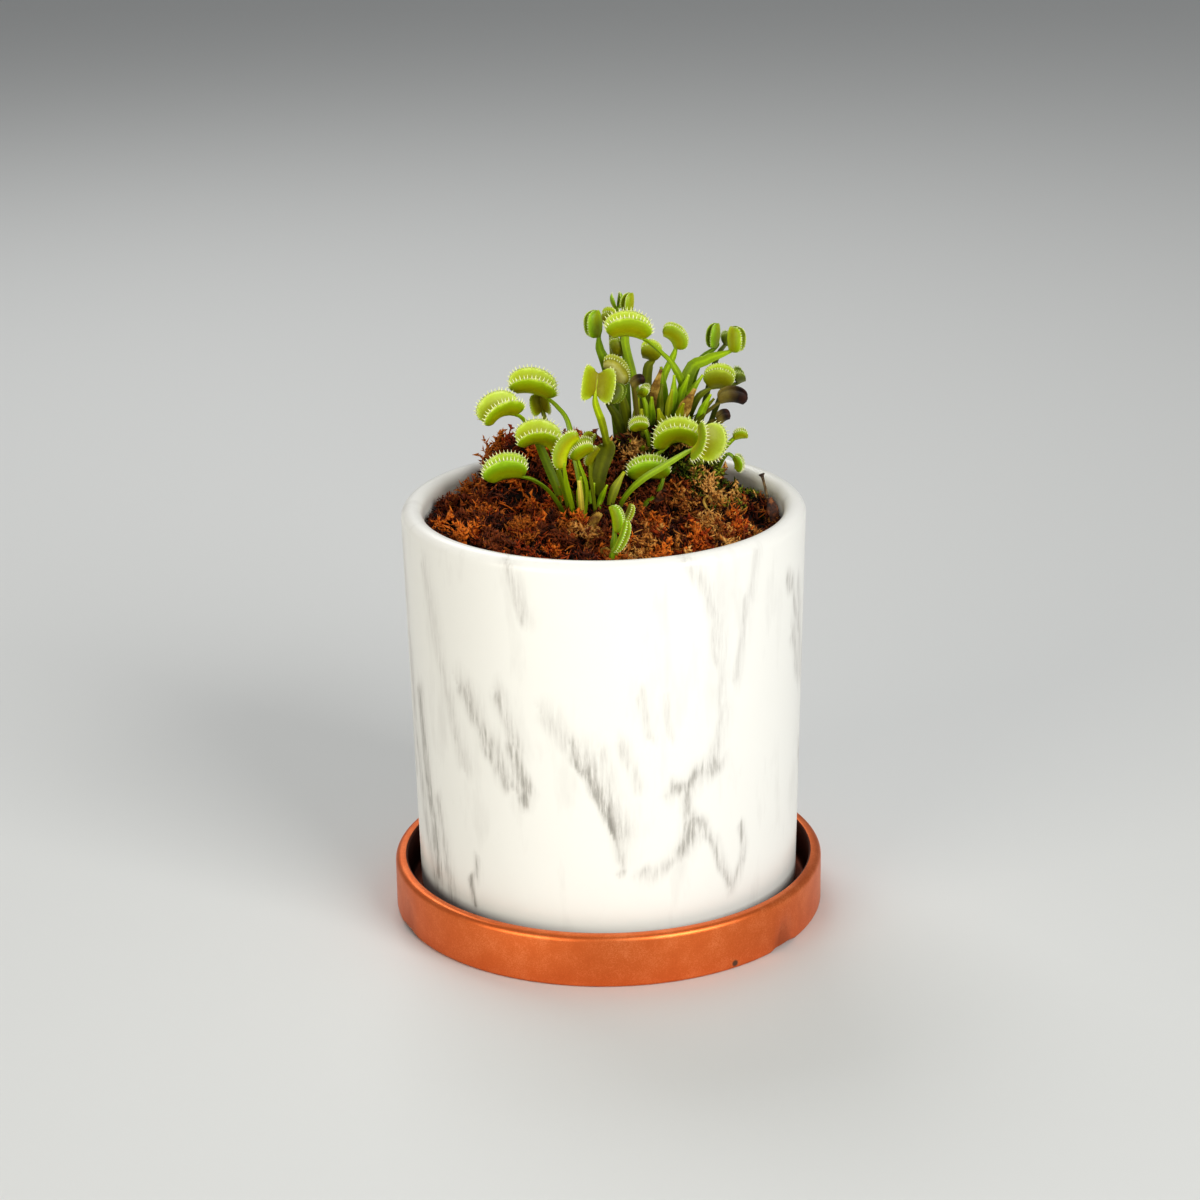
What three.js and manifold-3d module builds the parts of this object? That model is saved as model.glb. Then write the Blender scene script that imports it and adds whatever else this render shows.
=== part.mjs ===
// Potted venus flytrap: a young plant of several crowns in a mound of sphagnum moss, in a white
// ceramic pot that stands in a copper-painted saucer.
// Millimetres, +Z up. The origin is the centre of the saucer's underside. The plant's show side
// faces -Y.

import * as THREE from 'three';
import { mergeVertices } from 'three/addons/utils/BufferGeometryUtils.js';
import Module from 'manifold-3d';

const wasm = await Module();
wasm.setup();

// Round pieces
const SIDES = 36;

const SAUCER_RADIUS = 65.5;
const SAUCER_HEIGHT = 16;
const SAUCER_WALL = 3.7;
const SAUCER_FLOOR = 4.5;
const SAUCER_LIP_ROUND = 1.8;
const SAUCER_EDGE_ROUND = 1;
const SAUCER_FOOT_INNER = 46;
const SAUCER_RECESS = 0.8;
const NOTCH_COUNT = 3;
const NOTCH_FIRST_DEG = -38;
const NOTCH_WIDTH = 10;
const NOTCH_HEIGHT = 1.3;
const NOTCH_DEPTH = 7;

const POT_BOTTOM = SAUCER_FLOOR;
const POT_TOP = 127.5;
const POT_LIP_RADIUS = 60;
const POT_BASE_RADIUS = 57.6;
const POT_WALL = 6.5;
const POT_EDGE_ROUND = 4.5;
const POT_FLOOR = 6;
const POT_FOOT_INNER = 46;
const POT_RECESS = 2;
const POT_INNER_ROUND = 6;
const DRAIN_RADIUS = 7;

// Moss mound: level at the front, with a crest behind the middle that peaks at the right
const MOSS_GAP = 0.4;
const MOSS_LEVEL = 121.5;
const MOSS_RINGS = 10;
const CREST_RISE = 14.5;
const CREST_LEFT_END = -46;
const CREST_LEFT_RAMP = 20;
const CREST_RIGHT_END = 43;
const CREST_RIGHT_RAMP = 16;
const CREST_Y_LEFT = 33;
const CREST_Y_SHIFT = 8;
const CREST_FRONT_SPREAD = 20;
const CREST_BACK_SPREAD = 10;
const PEAK_RISE = 7;
const PEAK_X = 22;
const PEAK_SPREAD = 9;
const RELIEF = 0.9;
const RELIEF_PITCH = 1.7;

// Leaves
const ROOT_DEPTH = 5;
const ROOT_RISE = 1;
const HOLE_CLEARANCE = 0.35;
const HOLE_RISE = 3;
const STALK_THICKNESS = 1.1;
const EDGE_THICKNESS = 0.7;
const GUTTER = 0.16;
const LOBE_THICKNESS = 0.8;
const NECK_WIDTH = 1.3;
const NECK_OVERLAP = 0.3;
const BIG_TRAP_DEPTH = 4.7;
const SHUT_SPLAY = { midrib: 56, margin: -36 };
const WIDE_SPLAY = { midrib: 76, margin: 32 };
const LOBE_FULLNESS = 0.6;
const END_ROUND = 0.75;
const END_ROUND_POWER = 7;
const TOOTH_LENGTH = 2.4;
const SMALL_TOOTH_LENGTH = 1.5;
const TOOTH_RADIUS = 0.34;
const TOOTH_ROOT = 0.35;
const TOOTH_UPRIGHT = 0.5;
const TOOTH_OFFSET = 0.05;
const MIN_SEGMENTS = 3;

// Colours
const COPPER = { color: '#c05a28', roughness: 0.35, metalness: 0.8 };
const WHITE_GLAZE = { color: '#f4f1ec', roughness: 0.3, metalness: 0 };
const MOSS_BROWN = { color: '#7a3a14', roughness: 1, metalness: 0 };
const LIME = { color: '#9bb614', roughness: 0.5, metalness: 0 };
const GREEN = { color: '#6e9a12', roughness: 0.5, metalness: 0 };
const OLIVE = { color: '#7e8a10', roughness: 0.55, metalness: 0 };
const SHADE = { color: '#3e5a0c', roughness: 0.6, metalness: 0 };
const YELLOW = { color: '#c2b43a', roughness: 0.6, metalness: 0 };
const ORANGE = { color: '#b8712e', roughness: 0.7, metalness: 0 };
const DEAD = { color: '#3a2413', roughness: 0.85, metalness: 0 };

// Each leaf: its foot on the moss as x, y and width; its stalk's points as x, y, z and width; and
// its trap from neck to tip along the midrib, with the way it faces (mouth), how far its lobes
// reach (depth), how far they gape from 0 shut to 1 wide, the midrib's half arc and the lobes'
// half fan in degrees, how deep the lobes still are at their ends, and its teeth on each side.
const BROAD = { arc: 28, fan: 58, ends: 0.5, teeth: 8 };
const ARCHED = { arc: 44, fan: 66, ends: 0.5, teeth: 8 };
const UPRIGHT = { arc: 26, fan: 36, ends: 0.5, teeth: 4 };
const BUD = { arc: 14, fan: 16, ends: 0.4, teeth: 2 };
const NARROW = { arc: 12, fan: 20, ends: 0.45, teeth: 6 };

const LEAVES = {
  leaf_left_1: {
    look: GREEN, foot: [-11.5, -2, 2.2],
    stalk: [[-15, -3.5, 130.5, 2.6], [-19.5, -5, 135.2, 2.8]],
    trap: {
      ...BROAD, arc: 22, fan: 54, depth: 8, gape: 0.45,
      neck: [-23.8, -6, 137], tip: [-32.4, -6, 135.3], mouth: [-0.05, 0, 1],
    },
  },
  leaf_left_2: {
    look: LIME, foot: [-10.5, 3, 2.6],
    stalk: [[-12, 2.5, 131.2, 3.2], [-13.8, 1.5, 138.3, 3]],
    trap: {
      ...ARCHED, depth: 7.8, gape: 0.58,
      neck: [-14.9, 1, 142.9], tip: [-23.2, -0.5, 144.7], mouth: [-0.05, -0.08, 1],
    },
  },
  leaf_left_3: {
    look: LIME, foot: [-8.3, -3, 2.2],
    stalk: [[-10.2, -7, 133.7, 2.8]],
    trap: {
      ...BROAD, depth: 4.5, gape: 0.25,
      neck: [-11.3, -9.5, 140.7], tip: [-6.9, -9, 149.6], mouth: [-0.85, 0.2, 0.35],
    },
  },
  leaf_left_4: {
    look: LIME, foot: [-5.4, -1, 2.4],
    stalk: [[-4.9, -2.5, 132.8, 3.2]],
    trap: {
      ...BROAD, arc: 8, fan: 40, teeth: 6, depth: 5.3, gape: 0.3,
      neck: [-7.3, -4, 141.4], tip: [-2.8, -4.5, 144.6], mouth: [-0.6, -0.2, 0.75],
    },
  },
  leaf_left_5: {
    look: LIME, foot: [-1.5, 5, 2.4], face: [-0.3, -0.9, 0.2],
    stalk: [
      [-0.9, 5, 133.5, 4.4], [1.6, 4.6, 142.6, 5.6], [1.2, 4.2, 145.2, 2.2], [0, 3.4, 151, 2.5],
      [-1.6, 2.6, 156, 2.2],
    ],
    trap: {
      ...UPRIGHT, fan: 30, ends: 0.25, teeth: 8, depth: 7, gape: 0.9,
      neck: [-2, 2.2, 158.5], tip: [-0.7, 4.5, 166], mouth: [0.05, -0.95, 0.25],
    },
  },
  leaf_left_6: {
    look: LIME, foot: [-6.5, 8, 2],
    stalk: [[-8.2, 9.5, 136.5, 2.2], [-10.2, 13, 147.6, 2], [-13.4, 15, 152.3, 2]],
    trap: {
      ...ARCHED, arc: 24, depth: 8, gape: 0.58,
      neck: [-16.4, 15, 155.3], tip: [-25.6, 14.5, 157.2], mouth: [0.1, -0.12, 0.95],
    },
  },
  leaf_left_7: {
    look: LIME, foot: [-12.5, 7, 2.2],
    stalk: [[-16, 8, 135, 3], [-20.4, 8.4, 146, 2.4], [-23.6, 6.6, 151.3, 2.2]],
    trap: {
      ...ARCHED, depth: 8, gape: 0.6,
      neck: [-25.6, 5, 152.9], tip: [-32.6, 2.4, 150.7], mouth: [-0.25, -0.2, 0.95],
    },
  },
  leaf_left_8: {
    look: SHADE, foot: [-11, 13, 1.8],
    stalk: [[-14.5, 19, 138, 1.8]],
    trap: {
      ...UPRIGHT, teeth: 2, depth: 4.8, gape: 0.7,
      neck: [-17.8, 21, 149.6], tip: [-18.8, 21, 154.6], mouth: [-0.1, -0.9, 0.3],
    },
  },
  leaf_left_9: {
    look: OLIVE, foot: [-2.8, 11, 1.8],
    stalk: [[-3.4, 11.5, 135, 2]],
    trap: {
      ...UPRIGHT, teeth: 2, depth: 4.2, gape: 0.35,
      neck: [-3.6, 11, 141], tip: [-2.2, 11, 144.6], mouth: [0.1, -0.3, 0.9],
    },
  },
  leaf_left_10: {
    look: OLIVE, foot: [-2.4, 0, 1.8],
    stalk: [[-3.4, -1, 133, 2.2]],
    trap: {
      ...NARROW, teeth: 4, depth: 2.6, gape: 0.25,
      neck: [-3.9, -1.6, 138.6], tip: [-0.9, -1.6, 144.2], mouth: [-0.8, 0, 0.4],
    },
  },
  leaf_left_11: {
    look: YELLOW, foot: [-6.3, -4.6, 1.8],
    stalk: [[-6.6, -6.5, 130, 1.8], [-7, -7, 136, 1.2]],
  },
  leaf_tall_1: {
    look: LIME, foot: [25, 36, 3], face: [-0.4, -0.5, 0.8],
    stalk: [[25.2, 35.5, 152, 2.6], [22.2, 34, 159, 2.2], [18, 31, 164.6, 2], [14.2, 28, 168.6, 1.8]],
    trap: {
      ...BROAD, arc: 24, teeth: 10, depth: 8.2, gape: 0.5,
      neck: [12.6, 26.6, 169.9], tip: [3.5, 26, 170.8], mouth: [0, -0.02, 1],
    },
  },
  leaf_tall_2: {
    look: LIME, foot: [11.5, 37, 2.6], face: [0, -1, 0.1],
    stalk: [[10, 38.5, 154, 2.4], [7.4, 40.5, 166, 2.6]],
    trap: {
      ...BUD, depth: 7.3, gape: 0.12,
      neck: [6.6, 41, 173.4], tip: [10, 41, 173.8], mouth: [0.05, 0, 1],
    },
  },
  leaf_tall_3: {
    look: GREEN, foot: [8.5, 42, 2], face: [0, -1, 0.1],
    stalk: [[7.4, 46, 160, 2]],
    trap: {
      ...BUD, depth: 6, gape: 0.06,
      neck: [5.4, 46.5, 174], tip: [5, 48.8, 174.6], mouth: [-0.1, 0, 1],
    },
  },
  leaf_tall_4: {
    look: SHADE, foot: [5, 42, 2.2], face: [0, -1, 0.1],
    stalk: [[4, 48, 158, 2.4]],
    trap: {
      ...UPRIGHT, teeth: 2, depth: 5.4, gape: 0.35,
      neck: [3, 51.8, 168.2], tip: [0.8, 51.8, 169], mouth: [0, -0.1, 1],
    },
  },
  leaf_tall_5: {
    look: OLIVE, foot: [4.6, 35, 2.4], face: [0.2, -1, 0.1],
    stalk: [[3.4, 36.5, 150, 2.8], [1.2, 37, 160, 3.2], [-0.4, 36.6, 164.5, 2.6]],
    trap: {
      ...UPRIGHT, fan: 22, teeth: 2, depth: 9.6, gape: 0.15,
      neck: [-1.8, 36, 168.6], tip: [-5.4, 35.6, 169.4], mouth: [0.04, -0.1, 1],
    },
  },
  leaf_tall_6: {
    look: OLIVE, foot: [7.5, 38.5, 2.2], face: [0, -1, 0.1],
    stalk: [[5.6, 42, 152, 2.2]],
    trap: {
      ...BUD, depth: 6.8, gape: 0.12,
      neck: [5, 42.5, 160.4], tip: [7.4, 42.5, 161.6], mouth: [-0.12, 0, 1],
    },
  },
  leaf_tall_7: {
    look: SHADE, foot: [15, 38.5, 2.8], face: [0, -1, 0.1],
    stalk: [[14, 41, 150, 3], [14.4, 42, 157, 3]],
    trap: {
      ...UPRIGHT, teeth: 2, depth: 6.2, gape: 0.3,
      neck: [16, 42, 159], tip: [12.6, 42, 160.4], mouth: [0.3, -0.1, 0.95],
    },
  },
  leaf_tall_8: {
    look: LIME, foot: [17.5, 41.5, 2.4], face: [0.3, -1, 0.1],
    stalk: [[17.8, 43.5, 147, 2.6], [19.2, 44.5, 153.5, 2.4], [21.8, 45, 159, 2.2]],
    trap: {
      ...BROAD, arc: 36, teeth: 4, depth: 5.6, gape: 0.15,
      neck: [22.9, 45, 162.2], tip: [19.2, 45, 166.4], mouth: [0.6, -0.1, 0.75],
    },
  },
  leaf_tall_9: {
    look: OLIVE, foot: [8.2, 33.5, 2.4], face: [0, -1, 0.1],
    stalk: [[7.4, 32.5, 146, 2.6]],
    trap: {
      ...BROAD, arc: 34, teeth: 6, depth: 5.4, gape: 0.3,
      neck: [4.9, 32, 155], tip: [0.7, 31.5, 160.3], mouth: [0.6, -0.1, 0.75],
    },
  },
  leaf_tall_10: {
    look: SHADE, foot: [7, 28.5, 2.4], face: [0, -1, 0.1],
    stalk: [[4.6, 26.5, 145.5, 2.8], [2.4, 25.5, 149.6, 2]],
    trap: {
      ...UPRIGHT, teeth: 2, depth: 4.8, gape: 0.2,
      neck: [1.4, 25.2, 152.6], tip: [4, 25.1, 156.8], mouth: [0.9, -0.3, 0.1],
    },
  },
  leaf_tall_11: {
    look: LIME, foot: [13.6, 30.5, 1.8], face: [0, -1, 0.1],
    stalk: [[13.6, 30, 146.5, 1.8]],
    trap: {
      ...BUD, teeth: 4, depth: 4.4, gape: 0.2,
      neck: [12.6, 30, 150.8], tip: [10.8, 30, 152.2], mouth: [0, -0.2, 1],
    },
  },
  leaf_tall_12: {
    look: LIME, foot: [14, 24, 1.6], face: [0, -1, 0.1],
    stalk: [[14.2, 23.5, 139, 1.6]],
    trap: {
      ...BROAD, teeth: 2, depth: 4.2, gape: 0.45,
      neck: [13, 23.5, 142.6], tip: [9.8, 23.5, 142], mouth: [0, -0.15, 1],
    },
  },
  dead_leaf_tall: {
    look: DEAD, foot: [11.4, 28.6, 1.6], face: [0, -1, 0.1],
    stalk: [[10.4, 26.5, 149.5, 1.4]],
    trap: {
      ...UPRIGHT, teeth: 0, depth: 3, gape: 0.3,
      neck: [9.9, 25, 155.3], tip: [13.1, 25, 157.1], mouth: [0, -0.2, 1],
    },
  },
  withered_blade_tall: {
    look: ORANGE, foot: [16.8, 33, 1.8], face: [0, -1, 0.1],
    stalk: [[16.2, 34, 151, 3], [18.2, 34, 158.4, 1]],
  },
  leaf_right_1: {
    look: GREEN, foot: [21.5, 43.5, 4.4], face: [-0.3, -0.8, 0.5],
    stalk: [[27, 45, 153.5, 4.4], [32.5, 45.5, 158, 3.4]],
    trap: {
      ...UPRIGHT, fan: 20, teeth: 4, depth: 8.8, gape: 0.2,
      neck: [40.2, 45.5, 160], tip: [43.9, 45.5, 161], mouth: [0.05, -0.08, 1],
    },
  },
  leaf_right_2: {
    look: GREEN, foot: [26.5, 47, 2.6], face: [-0.3, -0.8, 0.3],
    stalk: [[29, 50.5, 153, 2.6]],
    trap: {
      ...BUD, depth: 8, gape: 0.12,
      neck: [33.9, 52, 159.6], tip: [36.7, 52, 160.6], mouth: [0.05, 0, 1],
    },
  },
  leaf_right_3: {
    look: SHADE, foot: [31, 43.5, 2], face: [-0.3, -0.8, 0.3],
    stalk: [[35, 52.5, 154, 1.8]],
    trap: {
      ...BUD, teeth: 2, depth: 4.4, gape: 0.1,
      neck: [38.6, 56, 160], tip: [41, 56, 161], mouth: [0.05, 0, 1],
    },
  },
  leaf_right_4: {
    look: OLIVE, foot: [26, 38.5, 2.6], face: [-0.4, -0.6, 0.7],
    stalk: [[29.5, 38.5, 147.6, 2.8]],
    trap: {
      ...BROAD, fan: 48, depth: 8, gape: 0.35,
      neck: [33.6, 38.5, 151], tip: [38.2, 38, 150.8], mouth: [-0.15, 0.02, 1],
    },
  },
  leaf_right_5: {
    look: SHADE, foot: [30, 39.5, 2], face: [-0.4, -0.6, 0.7],
    stalk: [[37, 45.5, 146.5, 2]],
    trap: {
      ...BUD, teeth: 2, depth: 5, gape: 0.3,
      neck: [42.2, 47, 150.2], tip: [44.6, 47, 151.4], mouth: [-0.05, -0.2, 1],
    },
  },
  dead_trap_right: {
    look: DEAD, foot: [27.5, 34, 1.8], face: [-0.3, -0.5, 0.8],
    stalk: [[31.5, 33, 144.6, 1.6]],
    trap: {
      ...UPRIGHT, teeth: 0, depth: 5, gape: 0.2,
      neck: [36, 32, 148.2], tip: [43.4, 32, 147.8], mouth: [0.05, -0.15, 1],
    },
  },
  black_leaf_right: {
    look: DEAD, foot: [30.5, 31, 1.4], face: [-0.3, -0.5, 0.8],
    stalk: [[33, 30.2, 142.6, 1.6]],
    trap: {
      ...UPRIGHT, teeth: 0, depth: 3.4, gape: 0.4,
      neck: [36.2, 29.6, 142.6], tip: [39, 29.6, 144.2], mouth: [0.3, -0.1, 0.9],
    },
  },
  withered_blade_right: {
    look: ORANGE, foot: [23.8, 31.5, 2.4], face: [0, -1, 0.1],
    stalk: [[25.2, 31, 147, 4], [28.4, 31, 153, 1.2]],
  },
  leaf_middle_1: {
    look: LIME, foot: [5, 2, 2.4], face: [-0.4, -0.5, 0.8],
    stalk: [
      [6.9, 0.4, 128.6, 2.6], [11.6, -1.2, 133.8, 3], [18.4, -0.4, 137.9, 2.8], [24.2, 2, 140.9, 2.2],
    ],
    trap: {
      ...BROAD, arc: 40, fan: 62, ends: 0.55, teeth: 8, depth: 8.2, gape: 0.9,
      neck: [26.8, 3, 142], tip: [28.6, 4, 148.2], mouth: [0.74, -0.64, 0.1],
    },
  },
  leaf_middle_2: {
    look: LIME, foot: [11, 18, 2.2], face: [-0.4, -0.5, 0.8],
    stalk: [[14, 17, 134.4, 2.2]],
    trap: {
      ...ARCHED, arc: 58, fan: 84, teeth: 8, depth: 8, gape: 0.55,
      neck: [19, 16, 138.6], tip: [26.6, 15.6, 139.4], mouth: [0, -0.08, 1],
    },
  },
  leaf_middle_3: {
    look: GREEN, foot: [12.5, 5.4, 2], face: [-0.4, -0.5, 0.8],
    stalk: [[16.5, 7, 127.6, 2.2]],
    trap: {
      ...BROAD, arc: 16, depth: 7.4, gape: 0.28,
      neck: [18, 8, 131.8], tip: [9.7, 8.1, 131.3], mouth: [0, -0.05, 1],
    },
  },
  leaf_middle_4: {
    look: LIME, foot: [34, 30, 1.6], face: [0, -1, 0.1],
    stalk: [[37, 29.4, 134.4, 1.6]],
    trap: {
      ...BUD, teeth: 2, depth: 3, gape: 0.2,
      neck: [40, 29, 137.6], tip: [44.4, 28.6, 138.2], mouth: [0, -0.1, 1],
    },
  },
  leaf_middle_5: {
    look: GREEN, foot: [35, 25, 1.5], face: [0, -0.5, 1],
    stalk: [[37.6, 23.6, 134, 1.4]],
    trap: {
      ...BROAD, teeth: 4, depth: 2.8, gape: 0.3,
      neck: [39.6, 23, 133.4], tip: [40.4, 23, 129.6], mouth: [0.9, -0.2, 0],
    },
  },
  leaf_front_1: {
    look: GREEN, foot: [2.4, -38, 1.8], face: [0, -1, 0.2],
    stalk: [[2.8, -38.5, 126.5, 2.2]],
    trap: {
      ...NARROW, depth: 3.6, gape: 0.15,
      neck: [3, -38.5, 130], tip: [1.8, -38, 137.6], mouth: [0.9, -0.2, 0.1],
    },
  },
  leaf_front_2: {
    look: LIME, foot: [2, -44.5, 1.6], face: [0, -0.8, 0.6],
    stalk: [[2.1, -45, 124.5, 1.6]],
    trap: {
      ...NARROW, teeth: 8, depth: 3.4, gape: 0.75,
      neck: [2.4, -45.2, 126.4], tip: [6.4, -44.2, 135.4], mouth: [0.3, -0.8, 0.4],
    },
  },
  leaf_front_3: {
    look: ORANGE, foot: [4.8, -32.5, 1.4], face: [0, -0.8, 0.6],
    stalk: [[5, -33, 127, 1.4]],
    trap: {
      ...NARROW, teeth: 4, depth: 2.8, gape: 0.8,
      neck: [5.4, -33.4, 131.4], tip: [8.2, -32.6, 136.8], mouth: [-0.1, -0.9, 0.3],
    },
  },
  leaf_front_4: {
    look: OLIVE, foot: [-3.4, -22.5, 1.4], face: [0, -0.8, 0.6],
    stalk: [[-3.4, -23, 124.4, 1.4]],
    trap: {
      ...NARROW, teeth: 4, depth: 2.6, gape: 0.5,
      neck: [-3.2, -23, 125.6], tip: [-0.2, -22.4, 131], mouth: [-0.5, -0.5, 0.6],
    },
  },
};

function vector(point) {
  return new THREE.Vector3(point[0], point[1], point[2]);
}

function smooth(value) {
  const v = THREE.MathUtils.clamp(value, 0, 1);
  return v * v * (3 - 2 * v);
}

// A closed mesh becomes a solid once its seams are merged and its flat triangles dropped
function solidFrom(geometry) {
  const bare = geometry.clone();
  bare.deleteAttribute('normal');
  bare.deleteAttribute('uv');
  const merged = mergeVertices(bare);
  const index = merged.getIndex().array;
  const triangles = [];
  for (let k = 0; k < index.length; k += 3) {
    const [a, b, c] = [index[k], index[k + 1], index[k + 2]];
    if (a !== b && b !== c && c !== a) triangles.push(a, b, c);
  }
  return solidFromArrays(merged.getAttribute('position').array, triangles);
}

function solidFromArrays(positions, triangles) {
  return new wasm.Manifold(new wasm.Mesh({
    numProp: 3,
    vertProperties: new Float32Array(positions),
    triVerts: new Uint32Array(triangles),
  }));
}

function meshFrom(name, solid, look) {
  const data = solid.getMesh();
  const geometry = new THREE.BufferGeometry();
  geometry.setAttribute('position', new THREE.BufferAttribute(new Float32Array(data.vertProperties), 3));
  geometry.setIndex(new THREE.BufferAttribute(new Uint32Array(data.triVerts), 1));
  geometry.computeVertexNormals();
  const mesh = new THREE.Mesh(geometry, new THREE.MeshStandardMaterial(look));
  mesh.name = name;
  return mesh;
}

// Points of an arc in a profile, by its centre, radius and angles from the profile's r axis
function arc(centreR, centreZ, radius, fromDeg, toDeg, steps) {
  const points = [];
  for (let k = 0; k <= steps; k += 1) {
    const angle = THREE.MathUtils.degToRad(fromDeg + ((toDeg - fromDeg) * k) / steps);
    points.push([centreR + radius * Math.cos(angle), centreZ + radius * Math.sin(angle)]);
  }
  return points;
}

// A profile of [r, z] points, run anticlockwise, turned round the Z axis
function turned(profile) {
  const points = profile.map(([r, z]) => new THREE.Vector2(r, z));
  const geometry = new THREE.LatheGeometry(points, SIDES);
  geometry.rotateX(Math.PI / 2);
  return solidFrom(geometry);
}

function saucerSolid() {
  const inner = SAUCER_RADIUS - SAUCER_WALL;
  const innerLip = 0.8;
  const innerRound = 2;
  const dish = turned([
    [0, SAUCER_RECESS],
    [SAUCER_FOOT_INNER, SAUCER_RECESS],
    [SAUCER_FOOT_INNER + SAUCER_RECESS, 0],
    ...arc(SAUCER_RADIUS - SAUCER_EDGE_ROUND, SAUCER_EDGE_ROUND, SAUCER_EDGE_ROUND, -90, 0, 2),
    ...arc(SAUCER_RADIUS - SAUCER_LIP_ROUND, SAUCER_HEIGHT - SAUCER_LIP_ROUND, SAUCER_LIP_ROUND, 0, 90, 3),
    ...arc(inner + innerLip, SAUCER_HEIGHT - innerLip, innerLip, 90, 180, 2),
    ...arc(inner - innerRound, SAUCER_FLOOR + innerRound, innerRound, 0, -90, 2),
    [0, SAUCER_FLOOR],
  ]);
  let cut = dish;
  for (let k = 0; k < NOTCH_COUNT; k += 1) {
    cut = cut.subtract(notchSolid(THREE.MathUtils.degToRad(NOTCH_FIRST_DEG + (360 * k) / NOTCH_COUNT)));
  }
  return cut;
}

// One shallow notch under the saucer's edge, open to the outside
function notchSolid(angle) {
  const below = 1;
  const outline = new THREE.Shape();
  outline.moveTo(-NOTCH_WIDTH / 2, -below);
  outline.lineTo(NOTCH_WIDTH / 2, -below);
  outline.lineTo(NOTCH_WIDTH / 2, 0);
  outline.quadraticCurveTo(NOTCH_WIDTH / 3, NOTCH_HEIGHT, 0, NOTCH_HEIGHT);
  outline.quadraticCurveTo(-NOTCH_WIDTH / 3, NOTCH_HEIGHT, -NOTCH_WIDTH / 2, 0);
  outline.closePath();
  const geometry = new THREE.ExtrudeGeometry(outline, {
    depth: NOTCH_DEPTH, bevelEnabled: false, curveSegments: 3,
  });
  geometry.rotateX(Math.PI / 2);
  geometry.translate(0, -(SAUCER_RADIUS - NOTCH_DEPTH / 2), 0);
  geometry.rotateZ(angle + Math.PI / 2);
  return solidFrom(geometry);
}

// Radius of the pot's outside at a height, between its base and its lip
function potRadius(z) {
  const share = (z - POT_BOTTOM) / (POT_TOP - POT_BOTTOM);
  return THREE.MathUtils.lerp(POT_BASE_RADIUS, POT_LIP_RADIUS, share);
}

function potSolid() {
  const floorTop = POT_BOTTOM + POT_FLOOR;
  const lip = POT_WALL / 2;
  const innerFoot = potRadius(floorTop + POT_INNER_ROUND) - POT_WALL - POT_INNER_ROUND;
  const edge = potRadius(POT_BOTTOM + POT_EDGE_ROUND) - POT_EDGE_ROUND;
  return turned([
    [DRAIN_RADIUS, floorTop],
    [DRAIN_RADIUS, POT_BOTTOM + POT_RECESS],
    [POT_FOOT_INNER, POT_BOTTOM + POT_RECESS],
    [POT_FOOT_INNER + POT_RECESS, POT_BOTTOM],
    ...arc(edge, POT_BOTTOM + POT_EDGE_ROUND, POT_EDGE_ROUND, -90, 0, 3),
    ...arc(POT_LIP_RADIUS - lip, POT_TOP - lip, lip, 0, 180, 4),
    ...arc(innerFoot, floorTop + POT_INNER_ROUND, POT_INNER_ROUND, 0, -90, 2),
    [DRAIN_RADIUS, floorTop],
  ]);
}

// Height of the mound without its relief
function moundHeight(x, y) {
  const left = smooth((x - CREST_LEFT_END) / CREST_LEFT_RAMP);
  const right = smooth((CREST_RIGHT_END - x) / CREST_RIGHT_RAMP);
  const peak = PEAK_RISE * Math.exp(-(((x - PEAK_X) / PEAK_SPREAD) ** 2));
  const crestY = CREST_Y_LEFT + CREST_Y_SHIFT * smooth((x - 2) / (PEAK_X - 4));
  const spread = y < crestY ? CREST_FRONT_SPREAD : CREST_BACK_SPREAD;
  const rise = CREST_RISE * left * right + peak;
  return MOSS_LEVEL + rise * Math.exp(-(((y - crestY) / spread) ** 2));
}

function relief(x, y) {
  const across = Math.sin(x / RELIEF_PITCH + 1.3 * Math.sin(y / 2.9));
  const along = Math.sin(y / RELIEF_PITCH - 1.1 * Math.sin(x / 3.3));
  return RELIEF * across * along;
}

function mossSolid() {
  const floor = POT_BOTTOM + POT_FLOOR + MOSS_GAP;
  const shoulder = floor + POT_INNER_ROUND;
  const topRadius = POT_LIP_RADIUS - POT_WALL - MOSS_GAP;
  const positions = [0, 0, moundHeight(0, 0), 0, 0, floor];
  const triangles = [];
  const addRing = (radius, heightAt) => {
    const start = positions.length / 3;
    for (let k = 0; k < SIDES; k += 1) {
      const angle = (2 * Math.PI * k) / SIDES;
      const [x, y] = [radius * Math.sin(angle), -radius * Math.cos(angle)];
      positions.push(x, y, heightAt(x, y));
    }
    return start;
  };
  // Joins two rings, the second one further out on top or further in below
  const join = (first, second) => {
    for (let k = 0; k < SIDES; k += 1) {
      const next = (k + 1) % SIDES;
      triangles.push(first + k, second + k, second + next, first + k, second + next, first + next);
    }
  };
  const close = (centre, ring, up) => {
    for (let k = 0; k < SIDES; k += 1) {
      const next = (k + 1) % SIDES;
      triangles.push(centre, ring + (up ? k : next), ring + (up ? next : k));
    }
  };
  let ring = addRing(topRadius / MOSS_RINGS, (x, y) => moundHeight(x, y) + relief(x, y));
  close(0, ring, true);
  for (let k = 2; k <= MOSS_RINGS; k += 1) {
    const share = k < MOSS_RINGS ? 1 : 0.3;
    const outer = addRing((topRadius * k) / MOSS_RINGS, (x, y) => moundHeight(x, y) + share * relief(x, y));
    join(ring, outer);
    ring = outer;
  }
  const side = addRing(potRadius(shoulder) - POT_WALL - MOSS_GAP, () => shoulder);
  join(ring, side);
  const foot = addRing(potRadius(floor) - POT_WALL - MOSS_GAP - POT_INNER_ROUND, () => floor);
  join(side, foot);
  close(1, foot, false);
  return solidFromArrays(positions, triangles);
}

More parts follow.
